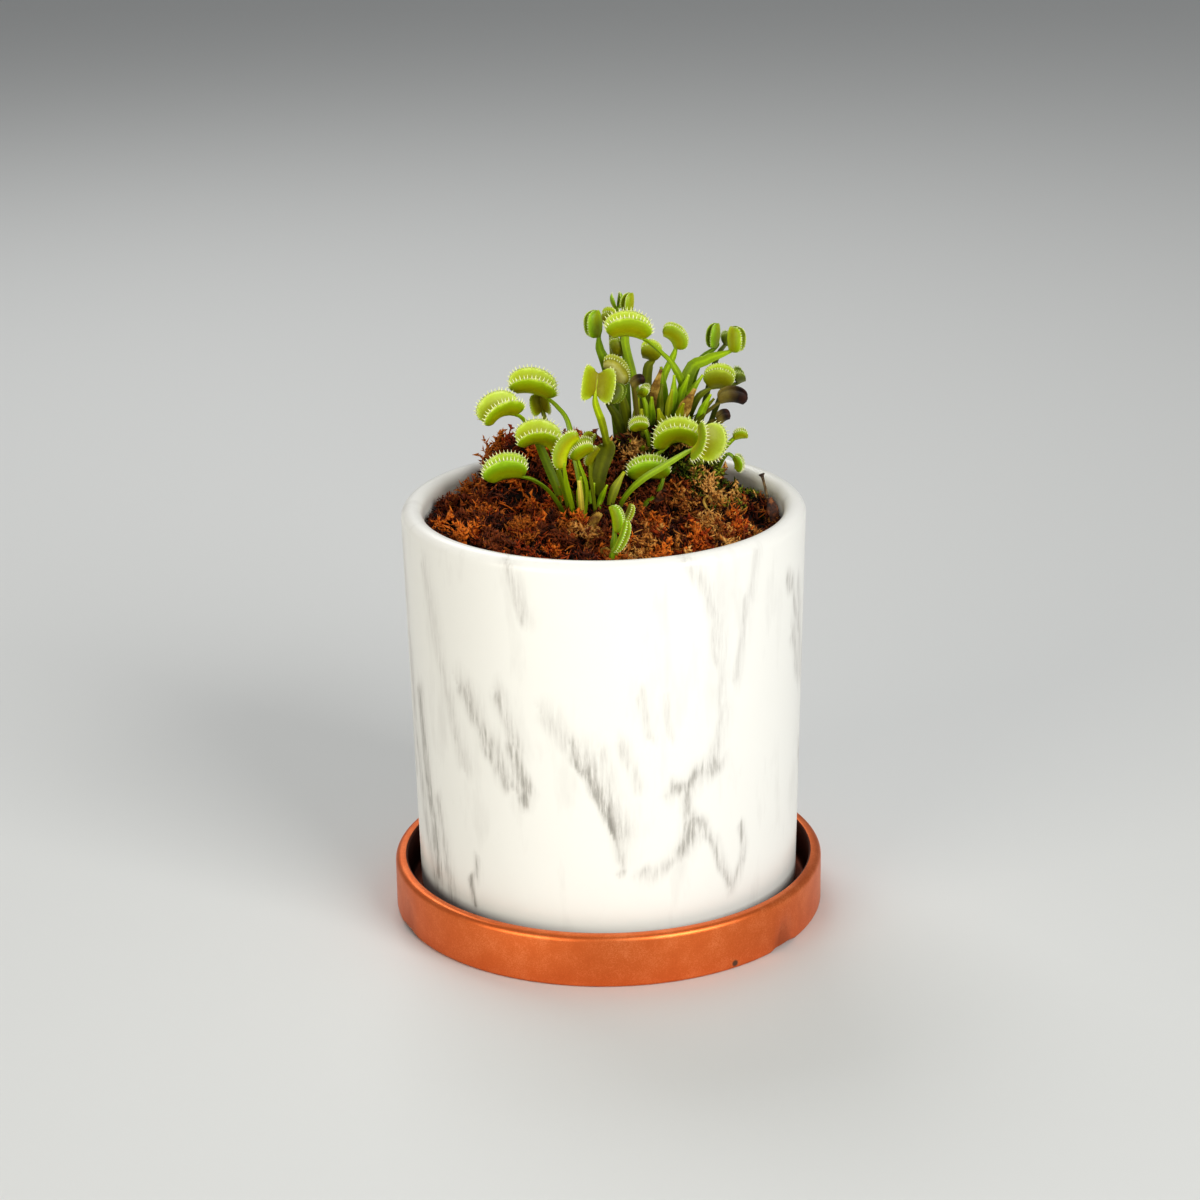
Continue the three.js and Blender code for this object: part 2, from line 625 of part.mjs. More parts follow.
// A thin closed blade about a grid of points, with the same split on both of its faces
function bladeSolid(rows, thicknessAt) {
  const rowCount = rows.length;
  const colCount = rows[0].length;
  const positions = [];
  for (let i = 0; i < rowCount; i += 1) {
    for (let j = 0; j < colCount; j += 1) {
      const alongRows = rows[Math.min(i + 1, rowCount - 1)][j].clone().sub(rows[Math.max(i - 1, 0)][j]);
      const alongCols = rows[i][Math.min(j + 1, colCount - 1)].clone().sub(rows[i][Math.max(j - 1, 0)]);
      const half = alongRows.cross(alongCols).normalize().multiplyScalar(thicknessAt(i, j) / 2);
      positions.push(...rows[i][j].clone().add(half).toArray());
      positions.push(...rows[i][j].clone().sub(half).toArray());
    }
  }
  const top = (i, j) => 2 * (i * colCount + j);
  const under = (i, j) => top(i, j) + 1;
  const triangles = [];
  for (let i = 0; i + 1 < rowCount; i += 1) {
    for (let j = 0; j + 1 < colCount; j += 1) {
      triangles.push(top(i, j), top(i + 1, j), top(i + 1, j + 1));
      triangles.push(top(i, j), top(i + 1, j + 1), top(i, j + 1));
      triangles.push(under(i, j), under(i + 1, j + 1), under(i + 1, j));
      triangles.push(under(i, j), under(i, j + 1), under(i + 1, j + 1));
    }
  }
  const rim = [];
  for (let i = 0; i < rowCount; i += 1) rim.push([i, 0]);
  for (let j = 1; j < colCount; j += 1) rim.push([rowCount - 1, j]);
  for (let i = rowCount - 2; i >= 0; i -= 1) rim.push([i, colCount - 1]);
  for (let j = colCount - 2; j > 0; j -= 1) rim.push([0, j]);
  rim.forEach(([i, j], k) => {
    const [ni, nj] = rim[(k + 1) % rim.length];
    triangles.push(top(ni, nj), top(i, j), under(i, j));
    triangles.push(top(ni, nj), under(i, j), under(ni, nj));
  });
  return solidFromArrays(positions, triangles);
}

// Places on a trap: s runs along the midrib from -1 at the neck to 1 at the tip, and t across
// from one lobe's margin at -1 to the other's at 1
function trapForm(trap) {
  const neck = vector(trap.neck);
  const tip = vector(trap.tip);
  const along = tip.clone().sub(neck);
  const chord = along.length();
  along.normalize();
  const out = vector(trap.mouth);
  out.addScaledVector(along, -out.dot(along)).normalize();
  const side = out.clone().cross(along);
  const arcHalf = THREE.MathUtils.degToRad(trap.arc);
  const fanHalf = THREE.MathUtils.degToRad(trap.fan);
  const radius = chord / (2 * Math.sin(arcHalf));
  const centre = neck.clone().add(tip).multiplyScalar(0.5).addScaledVector(out, -radius * Math.cos(arcHalf));
  const splayAt = (edge) => THREE.MathUtils.degToRad(
    THREE.MathUtils.lerp(SHUT_SPLAY[edge], WIDE_SPLAY[edge], trap.gape),
  );
  const splayFrom = splayAt('midrib');
  const splayTo = splayAt('margin');
  const midrib = (s) => centre.clone()
    .addScaledVector(along, radius * Math.sin(s * arcHalf))
    .addScaledVector(out, radius * Math.cos(s * arcHalf));
  const outward = (s, splay, sign) => along.clone().multiplyScalar(Math.sin(s * fanHalf))
    .addScaledVector(out, Math.cos(s * fanHalf)).multiplyScalar(Math.cos(splay))
    .addScaledVector(side, sign * Math.sin(splay));
  const place = (s, t) => {
    const sign = Math.sign(t);
    const rounded = Math.sqrt(1 - END_ROUND * Math.abs(s) ** END_ROUND_POWER);
    const reach = trap.depth * rounded * (trap.ends + (1 - trap.ends) * (1 - s * s) ** LOBE_FULLNESS);
    const splay = splayFrom + (splayTo - splayFrom) * Math.abs(t);
    const rise = (reach * (Math.sin(splay) - Math.sin(splayFrom))) / (splayTo - splayFrom);
    const spread = (reach * (Math.cos(splayFrom) - Math.cos(splay))) / (splayTo - splayFrom);
    return midrib(s).addScaledVector(outward(s, 0, 0), rise).addScaledVector(side, sign * spread);
  };
  return { midrib, place, outward, splayTo };
}

function trapSolid(trap) {
  const form = trapForm(trap);
  const segments = Math.max(MIN_SEGMENTS, trap.teeth / 2 + 1);
  const big = trap.depth > BIG_TRAP_DEPTH;
  const halfCols = big ? 2 : 1;
  const rows = [];
  for (let i = 0; i <= segments; i += 1) {
    const row = [];
    for (let j = -halfCols; j <= halfCols; j += 1) {
      row.push(form.place(-1 + (2 * i) / segments, j / halfCols));
    }
    rows.push(row);
  }
  let solid = bladeSolid(rows, () => LOBE_THICKNESS);
  const length = big ? TOOTH_LENGTH : SMALL_TOOTH_LENGTH;
  for (let k = 1; k <= trap.teeth; k += 1) {
    for (const sign of [-1, 1]) solid = solid.add(toothSolid(form, rows, k, sign, length));
  }
  return solid;
}

// One three-sided tooth, its root sunk in the lobe's margin, two of them to a segment
function toothSolid(form, rows, k, sign, length) {
  const low = Math.floor(k / 2);
  const part = k % 2 === 0 ? 0.25 : 0.75;
  const edge = sign < 0 ? 0 : rows[0].length - 1;
  const between = (col) => rows[low][col].clone().lerp(rows[low + 1][col], part);
  const margin = between(edge);
  const lobe = margin.clone().sub(between(edge - sign)).normalize();
  const along = rows[low + 1][edge].clone().sub(rows[low][edge]).normalize();
  const normal = along.clone().cross(lobe);
  const s = -1 + (2 * (low + part)) / (rows.length - 1);
  const axis = form.outward(s, form.splayTo * TOOTH_UPRIGHT, sign);
  const turn = part < 0.5 ? 1 : -1;
  const root = margin.addScaledVector(lobe, -TOOTH_ROOT).addScaledVector(normal, -turn * TOOTH_OFFSET);
  const first = along.multiplyScalar(turn);
  first.addScaledVector(axis, -first.dot(axis)).normalize();
  const second = axis.clone().cross(first);
  const corners = [0, 1, 2].map((corner) => {
    const angle = (2 * Math.PI * corner) / 3;
    return root.clone()
      .addScaledVector(first, TOOTH_RADIUS * Math.cos(angle))
      .addScaledVector(second, TOOTH_RADIUS * Math.sin(angle));
  });
  const point = root.clone().addScaledVector(axis, length + TOOTH_ROOT);
  const positions = [...corners, point].flatMap((corner) => corner.toArray());
  return solidFromArrays(positions, [0, 1, 3, 1, 2, 3, 2, 0, 3, 0, 2, 1]);
}

// The point where a leaf's stalk comes out of the mound
function footOf(leaf) {
  const [x, y] = leaf.foot;
  return new THREE.Vector3(x, y, moundHeight(x, y));
}

// Centres and widths along a stalk, from its root in the moss to its trap or its tip
function stalkStations(leaf) {
  const ground = footOf(leaf);
  const up = new THREE.Vector3(0, 0, 1);
  const points = [ground.clone().addScaledVector(up, ROOT_RISE), ...leaf.stalk.map(vector)];
  const widths = [leaf.foot[2], ...leaf.stalk.map((point) => point[3])];
  if (leaf.trap) {
    points.push(vector(leaf.trap.neck), trapForm(leaf.trap).midrib(-1 + NECK_OVERLAP));
    widths.push(NECK_WIDTH, NECK_WIDTH);
  }
  const curve = new THREE.CatmullRomCurve3(points, false, 'centripetal');
  const steps = points.length;
  const stations = [{ centre: ground.clone().addScaledVector(up, -ROOT_DEPTH), along: up, width: widths[0] }];
  for (let k = 0; k <= steps; k += 1) {
    const place = (k / steps) * (points.length - 1);
    const low = Math.min(Math.floor(place), points.length - 2);
    const width = THREE.MathUtils.lerp(widths[low], widths[low + 1], place - low);
    const along = k === 0 ? up : curve.getTangent(k / steps);
    stations.push({ centre: curve.getPoint(k / steps), along, width });
  }
  return stations;
}

function stalkFace(leaf) {
  return vector(leaf.face ?? leaf.trap?.mouth ?? [0, -1, 0.1]);
}

// A stalk with a shallow gutter along its upper face
function stalkSolid(leaf) {
  const face = stalkFace(leaf);
  const rows = stalkStations(leaf).map(({ centre, along, width }) => {
    const normal = face.clone().addScaledVector(along, -face.dot(along)).normalize();
    const across = normal.clone().cross(along);
    return [-1, 0, 1].map((sign) => centre.clone()
      .addScaledVector(across, (sign * width) / 2)
      .addScaledVector(normal, Math.abs(sign) * GUTTER * width));
  });
  return bladeSolid(rows, (i, j) => (j === 1 ? STALK_THICKNESS : EDGE_THICKNESS));
}

// The plain square-cornered hole that a stalk stands in
function holeSolid(leaf) {
  const up = new THREE.Vector3(0, 0, 1);
  const face = stalkFace(leaf);
  const normal = face.clone().addScaledVector(up, -face.dot(up)).normalize();
  const across = normal.clone().cross(up);
  const rise = GUTTER * leaf.foot[2];
  const depth = ROOT_DEPTH + HOLE_CLEARANCE;
  const box = new THREE.BoxGeometry(
    leaf.foot[2] + 2 * HOLE_CLEARANCE + EDGE_THICKNESS / 2,
    rise + STALK_THICKNESS + 2 * HOLE_CLEARANCE,
    depth + HOLE_RISE,
  );
  box.translate(0, rise / 2, (HOLE_RISE - depth) / 2);
  box.applyMatrix4(new THREE.Matrix4().makeBasis(across, normal, up).setPosition(footOf(leaf)));
  return solidFrom(box);
}

function leafSolid(leaf) {
  const stalk = stalkSolid(leaf);
  return leaf.trap ? stalk.add(trapSolid(leaf.trap)) : stalk;
}

const plant = new THREE.Group();
plant.add(meshFrom('saucer', saucerSolid(), COPPER));
plant.add(meshFrom('pot', potSolid(), WHITE_GLAZE));

let moss = mossSolid();
for (const [name, leaf] of Object.entries(LEAVES)) {
  moss = moss.subtract(holeSolid(leaf));
  plant.add(meshFrom(name, leafSolid(leaf), leaf.look));
}
plant.add(meshFrom('moss', moss, MOSS_BROWN));

export default plant;
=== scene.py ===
import math
import random

import bmesh
import bpy
from mathutils import Matrix, Vector, noise


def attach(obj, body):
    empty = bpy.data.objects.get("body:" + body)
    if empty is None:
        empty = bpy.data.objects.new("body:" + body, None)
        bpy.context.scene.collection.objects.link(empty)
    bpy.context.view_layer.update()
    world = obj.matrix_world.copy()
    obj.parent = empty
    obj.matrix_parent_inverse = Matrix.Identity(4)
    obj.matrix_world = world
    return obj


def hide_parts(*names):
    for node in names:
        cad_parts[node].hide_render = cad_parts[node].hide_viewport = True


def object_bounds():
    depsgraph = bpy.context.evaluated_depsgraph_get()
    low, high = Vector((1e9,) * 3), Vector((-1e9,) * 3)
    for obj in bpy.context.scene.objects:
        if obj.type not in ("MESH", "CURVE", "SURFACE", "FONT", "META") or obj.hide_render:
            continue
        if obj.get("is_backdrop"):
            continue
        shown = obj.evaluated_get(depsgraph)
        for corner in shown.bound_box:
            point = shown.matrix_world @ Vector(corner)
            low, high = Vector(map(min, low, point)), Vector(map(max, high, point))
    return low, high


# Potted venus flytrap: leaves of several crowns in a mound of sphagnum, a marbled ceramic pot and a
# copper-painted saucer. Sizes below are in millimetres, as in the solids; MM turns them to metres.

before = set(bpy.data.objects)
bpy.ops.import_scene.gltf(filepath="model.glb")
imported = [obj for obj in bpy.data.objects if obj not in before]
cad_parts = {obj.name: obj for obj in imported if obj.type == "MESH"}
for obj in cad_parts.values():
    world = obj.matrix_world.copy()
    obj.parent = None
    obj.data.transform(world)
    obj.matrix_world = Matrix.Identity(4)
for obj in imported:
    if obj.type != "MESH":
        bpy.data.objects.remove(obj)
cad_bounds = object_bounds()

MM = 0.001
SEED = 2432
FULL_TURN = 2.0 * math.pi
UP = Vector((0, 0, 1))

# Pot and saucer, as in the solids
SAUCER_RADIUS = 65.5
SAUCER_HEIGHT = 16.0
SAUCER_WALL = 3.7
SAUCER_FLOOR = 4.5
SAUCER_LIP_ROUND = 1.8
SAUCER_INNER_LIP = 0.8
SAUCER_INNER_ROUND = 2.0
SAUCER_EDGE_ROUND = 1.0
SAUCER_FOOT_INNER = 46.0
SAUCER_RECESS = 0.8
NOTCHES = (-38.0, 82.0, 202.0)
NOTCH_WIDTH = 10.0
NOTCH_HEIGHT = 1.3
NOTCH_FROM = 62.0
POT_BOTTOM = SAUCER_FLOOR
POT_TOP = 127.5
POT_LIP_RADIUS = 60.0
POT_BASE_RADIUS = 57.6
POT_WALL = 6.5
POT_EDGE_ROUND = 4.5
POT_FLOOR = 6.0
POT_FOOT_INNER = 46.0
POT_RECESS = 2.0
POT_INNER_ROUND = 6.0
DRAIN_RADIUS = 7.0

# Their finer shape: steps round the axis, rows of the pot's wall, the notches' sloping sides, and the
# middle of the worn spot in the saucer's paint
TURN_STEPS = 192
POT_STEPS = 448
WALL_ROWS = 132
NOTCH_STEP = 0.4
NOTCH_SLOPE = 1.2
SAUCER_CHIP = (36.6, -54.3, 1.8)

# The darker paint inside is painted shade; it starts just under the floor's face and ends on the lip's
# round
SHADE_MARGIN = 0.2
SHADE_OVERLAP = 0.5

# Moss mound, as in the solids
MOSS_LEVEL = 121.5
MOSS_RADIUS = 53.0
CREST_RISE = 14.5
CREST_LEFT_END = -46.0
CREST_LEFT_RAMP = 20.0
CREST_RIGHT_END = 43.0
CREST_RIGHT_RAMP = 16.0
CREST_Y_LEFT = 33.0
CREST_FRONT_SPREAD = 20.0
CREST_BACK_SPREAD = 10.0
PEAK_RISE = 7.0
PEAK_X = 22.0
PEAK_SPREAD = 9.0

# Where the mound differs from its solid: its crest bends back at the right, from x on over a ramp,
# and it slopes down to the pot's wall
CREST_Y_SHIFT = 4.0
CREST_Y_FROM = 2.0
CREST_Y_RAMP = 18.0
MOSS_EDGE_FALL = 9.0

# Camera, from the photograph's perspective: a 90 mm lens on a 36 mm sensor, 0.9 m from the pot
LENS = 90.0
SENSOR = 36.0
CAMERA_DISTANCE = 900.0
CAMERA_ELEVATION = 19.14
CAMERA_ROLL = 0.86
CAMERA_TARGET = (-1.41, 0.0, 96.3)


def mm(x, y, z):
    """A point in metres from millimetres."""
    return Vector((x, y, z)) * MM


def lerp(a, b, share):
    return a + (b - a) * share


def smooth(value):
    """A soft step from 0 to 1."""
    v = min(max(value, 0.0), 1.0)
    return v * v * (3.0 - 2.0 * v)


def bell(x, y, centre_x, centre_y, wide_x, wide_y):
    """A soft spot that is 1 at its centre and fades out with distance."""
    return math.exp(-(((x - centre_x) / wide_x) ** 2) - ((y - centre_y) / wide_y) ** 2)


def linear(code):
    """A linear colour from an sRGB hex code."""
    parts = []
    for k in (0, 2, 4):
        c = int(code[k:k + 2], 16) / 255.0
        parts.append(c / 12.92 if c <= 0.04045 else ((c + 0.055) / 1.055) ** 2.4)
    return (*parts, 1.0)


# Materials

# Spacing and relief of their patterns, in millimetres
VEINS = 0.55
VEIN_RELIEF = 0.12
DRY_PATCHES = 2.2
DRY_WRINKLES = 0.9
DRY_RELIEF = 0.3
MOSS_DRIFT = 1.1
CRUMBS = 1.6
CRUMB_RELIEF = 0.8
BRUSH_FIBRES = 1.0
VEIL_PATCHES = 11.0
PAINT_CLOUDS = 7.0

# Flakes in the paint are under 0.1 mm across, and are drawn coarser so that they show
FLAKES = 0.28
FLAKE_RELIEF = 0.05

# The worn spot in the paint: radii of its bare middle and of its outer edge
CHIP_CORE = 0.7
CHIP_REACH = 1.2

# The glaze's patterns are drawn out downwards by these scales of their height
BRUSH_PULL = 0.12
VEIL_PULL = 0.22


def add(tree, kind, inputs=None, stops=None, **settings):
    """Adds a node with its settings, its inputs and its colour stops. An input is a value, another
    node's output, or another node, which stands for its first output."""
    made = tree.nodes.new("ShaderNode" + kind)
    for name, value in settings.items():
        setattr(made, name, value)
    for key, value in (inputs or {}).items():
        if isinstance(value, bpy.types.Node):
            value = value.outputs[0]
        if isinstance(value, bpy.types.NodeSocket):
            tree.links.new(value, made.inputs[key])
        else:
            made.inputs[key].default_value = value
    if stops:
        ramp = made.color_ramp
        while len(ramp.elements) > 1:
            ramp.elements.remove(ramp.elements[-1])
        ramp.elements[0].position = stops[0][0]
        ramp.elements[0].color = linear(stops[0][1])
        for place, code in stops[1:]:
            ramp.elements.new(place).color = linear(code)
    return made


def blank(name):
    """A new material and its empty tree."""
    material = bpy.data.materials.new(name)
    material.use_nodes = True
    material.node_tree.nodes.clear()
    return material, material.node_tree


def coated(material, surface):
    """Ends a material with its shader, whose inputs are given."""
    shader = add(material.node_tree, "BsdfPrincipled", surface)
    add(material.node_tree, "OutputMaterial", {"Surface": shader})
    return material


def pitch(size):
    """A pattern's scale from its spacing in millimetres."""
    return 1.0 / (size * MM)


def leaf_tissue(name, tones, roughness=0.46, patch=2.6, mottle=0.22, glow=0.12, axis="across", rib_highlight=0.0):
    """Living leaf: a waxy skin over juicy tissue, so light spreads under it and its highlights are
    soft. tones are colours from the midrib out to the margin, or from the foot up for a stalk."""
    material, tree = blank(name)
    coords = add(tree, "TexCoord").outputs["Object"]
    place = add(tree, "Attribute", attribute_name=axis)
    cloud = add(tree, "TexNoise", {
        "Vector": coords, "Scale": pitch(patch), "Detail": 3.0, "Roughness": 0.6,
    })
    shift = add(tree, "Math", {0: cloud, 1: 0.5}, operation="SUBTRACT")
    wander = add(tree, "Math", {0: shift, 1: 0.3, 2: place.outputs["Fac"]}, operation="MULTIPLY_ADD")
    tone = add(tree, "ValToRGB", {"Fac": wander}, tones)
    veins = add(tree, "TexNoise", {"Vector": coords, "Scale": pitch(VEINS), "Detail": 2.0})
    level = add(tree, "Math", {0: veins, 1: mottle, 2: 1.0 - mottle / 2.0}, operation="MULTIPLY_ADD")
    middle = add(tree, "Attribute", attribute_name="across")
    # The middle of a stalk is drawn lighter along its rib: partly its own paler rib and partly a painted
    # highlight
    rib_light = add(tree, "MapRange", {
        "Value": middle.outputs["Fac"], "From Min": 0.05, "From Max": 0.4,
        "To Min": 1.0 + rib_highlight, "To Max": 1.0,
    })
    lit = add(tree, "Math", {0: level, 1: rib_light}, operation="MULTIPLY")
    shade = add(tree, "VectorMath", {0: tone, "Scale": lit}, operation="SCALE")
    bump = add(tree, "Bump", {"Strength": 0.25, "Distance": VEIN_RELIEF * MM, "Height": veins})
    return coated(material, {
        "Base Color": shade, "Normal": bump, "Roughness": roughness, "IOR": 1.42,
        "Subsurface Weight": glow, "Subsurface Radius": (0.9, 1.0, 0.1), "Subsurface Scale": 1.2 * MM,
    })


# Colours of each look: places from 0 to 1 along the leaf or out to its margin, and the colour there
# The outsides are lightest at the midrib, along the lobes' lower bellies: partly their own yellow midrib
# and partly painted light, the glow of light through the leaf
LOBE_OUTSIDE = {
    "lime": [(0, "c8dc10"), (0.2, "b8c406"), (0.45, "a2a200"), (0.7, "90a000"), (0.86, "92ac04"),
             (0.95, "b4cc38"), (1, "dcec8c")],
    "green": [(0, "b0cc0a"), (0.25, "a0b404"), (0.5, "8c9800"), (0.75, "7c9c02"), (0.9, "90b80e"),
              (1, "c4e460")],
    "olive": [(0, "949806"), (0.3, "848202"), (0.6, "7c7c00"), (0.85, "889404"), (1, "b0c43c")],
    "dark": [(0, "6c7406"), (0.3, "5a6202"), (0.6, "505a02"), (0.85, "647406"), (1, "98a838")],
    "pale": [(0, "a4a440"), (0.3, "b8b45a"), (0.62, "c6c478"), (0.8, "a4a034"), (0.92, "7c7a08"),
             (1, "acb43c")],
    "yellow": [(0, "b09c18"), (0.4, "a89410"), (0.8, "b0a81c"), (1, "d4cc54")],
}
# The insides are darker than the outsides and darkest at the midrib, deep in the mouth: painted shade over
# their own colour
LOBE_INSIDE = {
    "lime": [(0, "8c8400"), (0.35, "949402"), (0.62, "a0aa0c"), (0.85, "b4c834"), (1, "d8e880")],
    "green": [(0, "747600"), (0.4, "848c02"), (0.7, "94a80e"), (0.9, "b0cc3c"), (1, "d0e478")],
    "olive": [(0, "847a00"), (0.4, "8c8602"), (0.7, "a0a40e"), (0.9, "b8d03c"), (1, "d0e070")],
    "dark": [(0, "50560a"), (0.5, "5c6c08"), (1, "8ca42c")],
    "pale": [(0, "8c8a10"), (0.5, "98981c"), (1, "b4bc48")],
    "yellow": [(0, "98881c"), (0.5, "a89c28"), (1, "ccc45c")],
}
OLIVE_STALK = [(0, "485004"), (0.3, "687006"), (0.7, "808806"), (1, "9ca014")]
STALK = {
    "lime": [(0, "586804"), (0.25, "7c9406"), (0.6, "94b006"), (1, "b0c414")],
    "green": [(0, "4c5c04"), (0.3, "688006"), (0.7, "7c9c06"), (1, "9cb40e")],
    "olive": OLIVE_STALK,
    "dark": [(0, "343c04"), (0.4, "4c5404"), (1, "6c740e")],
    "pale": OLIVE_STALK,
    "yellow": [(0, "7c7418"), (0.4, "a09428"), (1, "c4b850")],
}
WIDE_STALK = [(0, "3c4404"), (0.2, "5a6008"), (0.36, "747a0c"), (0.46, "84900a"), (0.55, "9cb008"),
              (1, "b0c414")]
DEAD_STALK = [(0, "3c3408"), (0.5, "6c6418"), (1, "8c8030")]
DEAD_LOBE = [(0, "8c7c38"), (0.3, "74682c"), (0.52, "4c3c18"), (0.68, "1c0e08"), (0.85, "3c1c10"),
             (1, "180a06")]


def tooth_tissue(name, code):
    """A trap's teeth: thin, pale and almost clear, so they glow against what is behind them."""
    return coated(blank(name)[0], {
        "Base Color": linear(code), "Roughness": 0.35, "Subsurface Weight": 0.3,
        "Subsurface Radius": (0.8, 1.0, 0.3), "Subsurface Scale": 0.8 * MM,
    })


def dry_tissue(name, dark, mid, light):
    """A dead leaf or a scrap of bark: dry, wrinkled and matt, in uneven browns."""
    material, tree = blank(name)
    coords = add(tree, "TexCoord").outputs["Object"]
    cloud = add(tree, "TexNoise", {
        "Vector": coords, "Scale": pitch(DRY_PATCHES), "Detail": 4.0, "Roughness": 0.65,
    })
    tone = add(tree, "ValToRGB", {"Fac": cloud}, [(0.36, dark), (0.5, mid), (0.64, light)])
    fibre = add(tree, "TexNoise", {"Vector": coords, "Scale": pitch(DRY_WRINKLES), "Detail": 3.0})
    bump = add(tree, "Bump", {"Strength": 0.6, "Distance": DRY_RELIEF * MM, "Height": fibre})
    return coated(material, {"Base Color": tone, "Normal": bump, "Roughness": 0.72})


def moss_fibre(name, tones):
    """Dried sphagnum: papery, matt leaflets whose colour drifts from sprig to sprig. Each sprig's tone sets
    how far it is painted from shaded to lit.
    """
    material, tree = blank(name)
    coords = add(tree, "TexCoord").outputs["Object"]
    tone = add(tree, "Attribute", attribute_name="tone")
    drift = add(tree, "TexNoise", {
        "Vector": coords, "Scale": pitch(MOSS_DRIFT), "Detail": 3.0, "Roughness": 0.7,
    })
    mixed = add(tree, "Math", {0: drift, 1: 0.5, 2: tone.outputs["Fac"]}, operation="MULTIPLY_ADD")
    colour = add(tree, "ValToRGB", {"Fac": mixed}, tones)
    return coated(material, {
        "Base Color": colour, "Roughness": 0.9, "IOR": 1.4, "Subsurface Weight": 0.1,
        "Subsurface Radius": (1.0, 0.5, 0.2), "Subsurface Scale": 0.5 * MM,
    })


def shaded_peat():
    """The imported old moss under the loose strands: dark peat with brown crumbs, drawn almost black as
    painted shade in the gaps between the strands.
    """
    material, tree = blank("shaded_packed_moss")
    coords = add(tree, "TexCoord").outputs["Object"]
    crumbs = add(tree, "TexNoise", {
        "Vector": coords, "Scale": pitch(CRUMBS), "Detail": 5.0, "Roughness": 0.7,
    })
    # Near-black tones: painted shade where the gaps between strands fall dark
    tone = add(tree, "ValToRGB", {"Fac": crumbs}, [(0.35, "0c0503"), (0.55, "241008"), (0.7, "4a2410")])
    bump = add(tree, "Bump", {"Strength": 1.0, "Distance": CRUMB_RELIEF * MM, "Height": crumbs})
    return coated(material, {"Base Color": tone, "Normal": bump, "Roughness": 0.6})


def marbled_glaze():
    """White glazed stoneware: grey marbling wiped on in feathered strokes under a satin clear glaze."""
    material, tree = blank("marbled_white_glaze")
    coords = add(tree, "TexCoord").outputs["Object"]
    stroke = add(tree, "Attribute", attribute_name="smear")
    drawn = add(tree, "Mapping", {"Vector": coords, "Scale": (1.0, 1.0, BRUSH_PULL)})
    fibre = add(tree, "TexNoise", {
        "Vector": drawn, "Scale": pitch(BRUSH_FIBRES), "Detail": 6.0, "Roughness": 0.62,
    })
    wiped = add(tree, "Math", {0: fibre, 1: 3.0, 2: -0.75}, operation="MULTIPLY_ADD")
    mask = add(tree, "Math", {0: stroke.outputs["Fac"], 1: wiped}, operation="MULTIPLY")
    broad = add(tree, "Mapping", {"Vector": coords, "Scale": (1.0, 1.0, VEIL_PULL)})
    veil = add(tree, "TexNoise", {
        "Vector": broad, "Scale": pitch(VEIL_PATCHES), "Detail": 4.0, "Roughness": 0.6,
    })
    haze = add(tree, "MapRange", {
        "Value": veil, "From Min": 0.54, "From Max": 0.8, "To Min": 0.0, "To Max": 0.3,
    })
    both = add(tree, "Math", {0: mask, 1: haze}, operation="MAXIMUM", use_clamp=True)
    tone = add(tree, "ValToRGB", {"Fac": both},
               [(0.0, "ebeae5"), (0.3, "dad8d3"), (0.65, "b6b3ad"), (1.0, "928f89")])
    return coated(material, {"Base Color": tone, "Roughness": 0.32, "IOR": 1.5})


def copper_paint(name, dark, mid, light):
    """Metallic copper paint sprayed on an earthenware saucer: fine flakes in a satin coat."""
    material, tree = blank(name)
    coords = add(tree, "TexCoord").outputs["Object"]
    flake = add(tree, "TexVoronoi", {"Vector": coords, "Scale": pitch(FLAKES)})
    cloud = add(tree, "TexNoise", {
        "Vector": coords, "Scale": pitch(PAINT_CLOUDS), "Detail": 4.0, "Roughness": 0.6,
    })
    spread = add(tree, "Math", {0: flake.outputs["Color"], 1: 0.4, 2: cloud}, operation="MULTIPLY_ADD")
    tone = add(tree, "ValToRGB", {"Fac": spread}, [(0.2, dark), (0.7, mid), (1.1, light)])
    gap = add(tree, "VectorMath", {0: coords, 1: mm(*SAUCER_CHIP)}, operation="DISTANCE")
    bare = add(tree, "MapRange", {
        "Value": gap.outputs["Value"], "From Min": CHIP_CORE * MM, "From Max": CHIP_REACH * MM,
        "To Min": 1.0, "To Max": 0.0,
    })
    # For colours, this node's inputs are 6 and 7 and its output is 2
    chipped = add(tree, "Mix", {0: bare, 6: tone, 7: linear("6c5444")}, data_type="RGBA")
    bump = add(tree, "Bump", {
        "Strength": 0.12, "Distance": FLAKE_RELIEF * MM, "Height": flake.outputs["Distance"],
    })
    return coated(material, {
        "Base Color": chipped.outputs[2], "Normal": bump, "Metallic": 0.85, "Roughness": 0.4,
    })


# Pieces

def layered(*names):
    """A new bmesh with the named layers of numbers."""
    bm = bmesh.new()
    for name in names:
        bm.verts.layers.float.new(name)
    return bm


def stored(bm, name):
    """A bmesh as a mesh, shaded smooth."""
    for face in bm.faces:
        face.smooth = True
    mesh = bpy.data.meshes.new(name)
    bm.to_mesh(mesh)
    bm.free()
    return mesh


def placed(name, data):
    """A new object in the scene."""
    made = bpy.data.objects.new(name, data)
    bpy.context.scene.collection.objects.link(made)
    return made


def merged(bm, mesh):
    """Adds a mesh to a bmesh and drops it."""
    bm.from_mesh(mesh)
    bpy.data.meshes.remove(mesh)


def piece(bm, name, materials, node=None):
    """Turns a bmesh into a piece that rides on the part, and stands for a solid if one is named."""
    mesh = stored(bm, name)
    for material in materials:
        mesh.materials.append(material)
    made = placed(name, mesh)
    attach(made, "root")
    if node:
        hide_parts(node)


def arc(centre_r, centre_z, radius, from_deg, to_deg, steps):
    """Points (r, z) along part of a circle."""
    points = []
    for k in range(steps + 1):
        angle = math.radians(lerp(from_deg, to_deg, k / steps))
        points.append((centre_r + radius * math.cos(angle), centre_z + radius * math.sin(angle)))
    return points


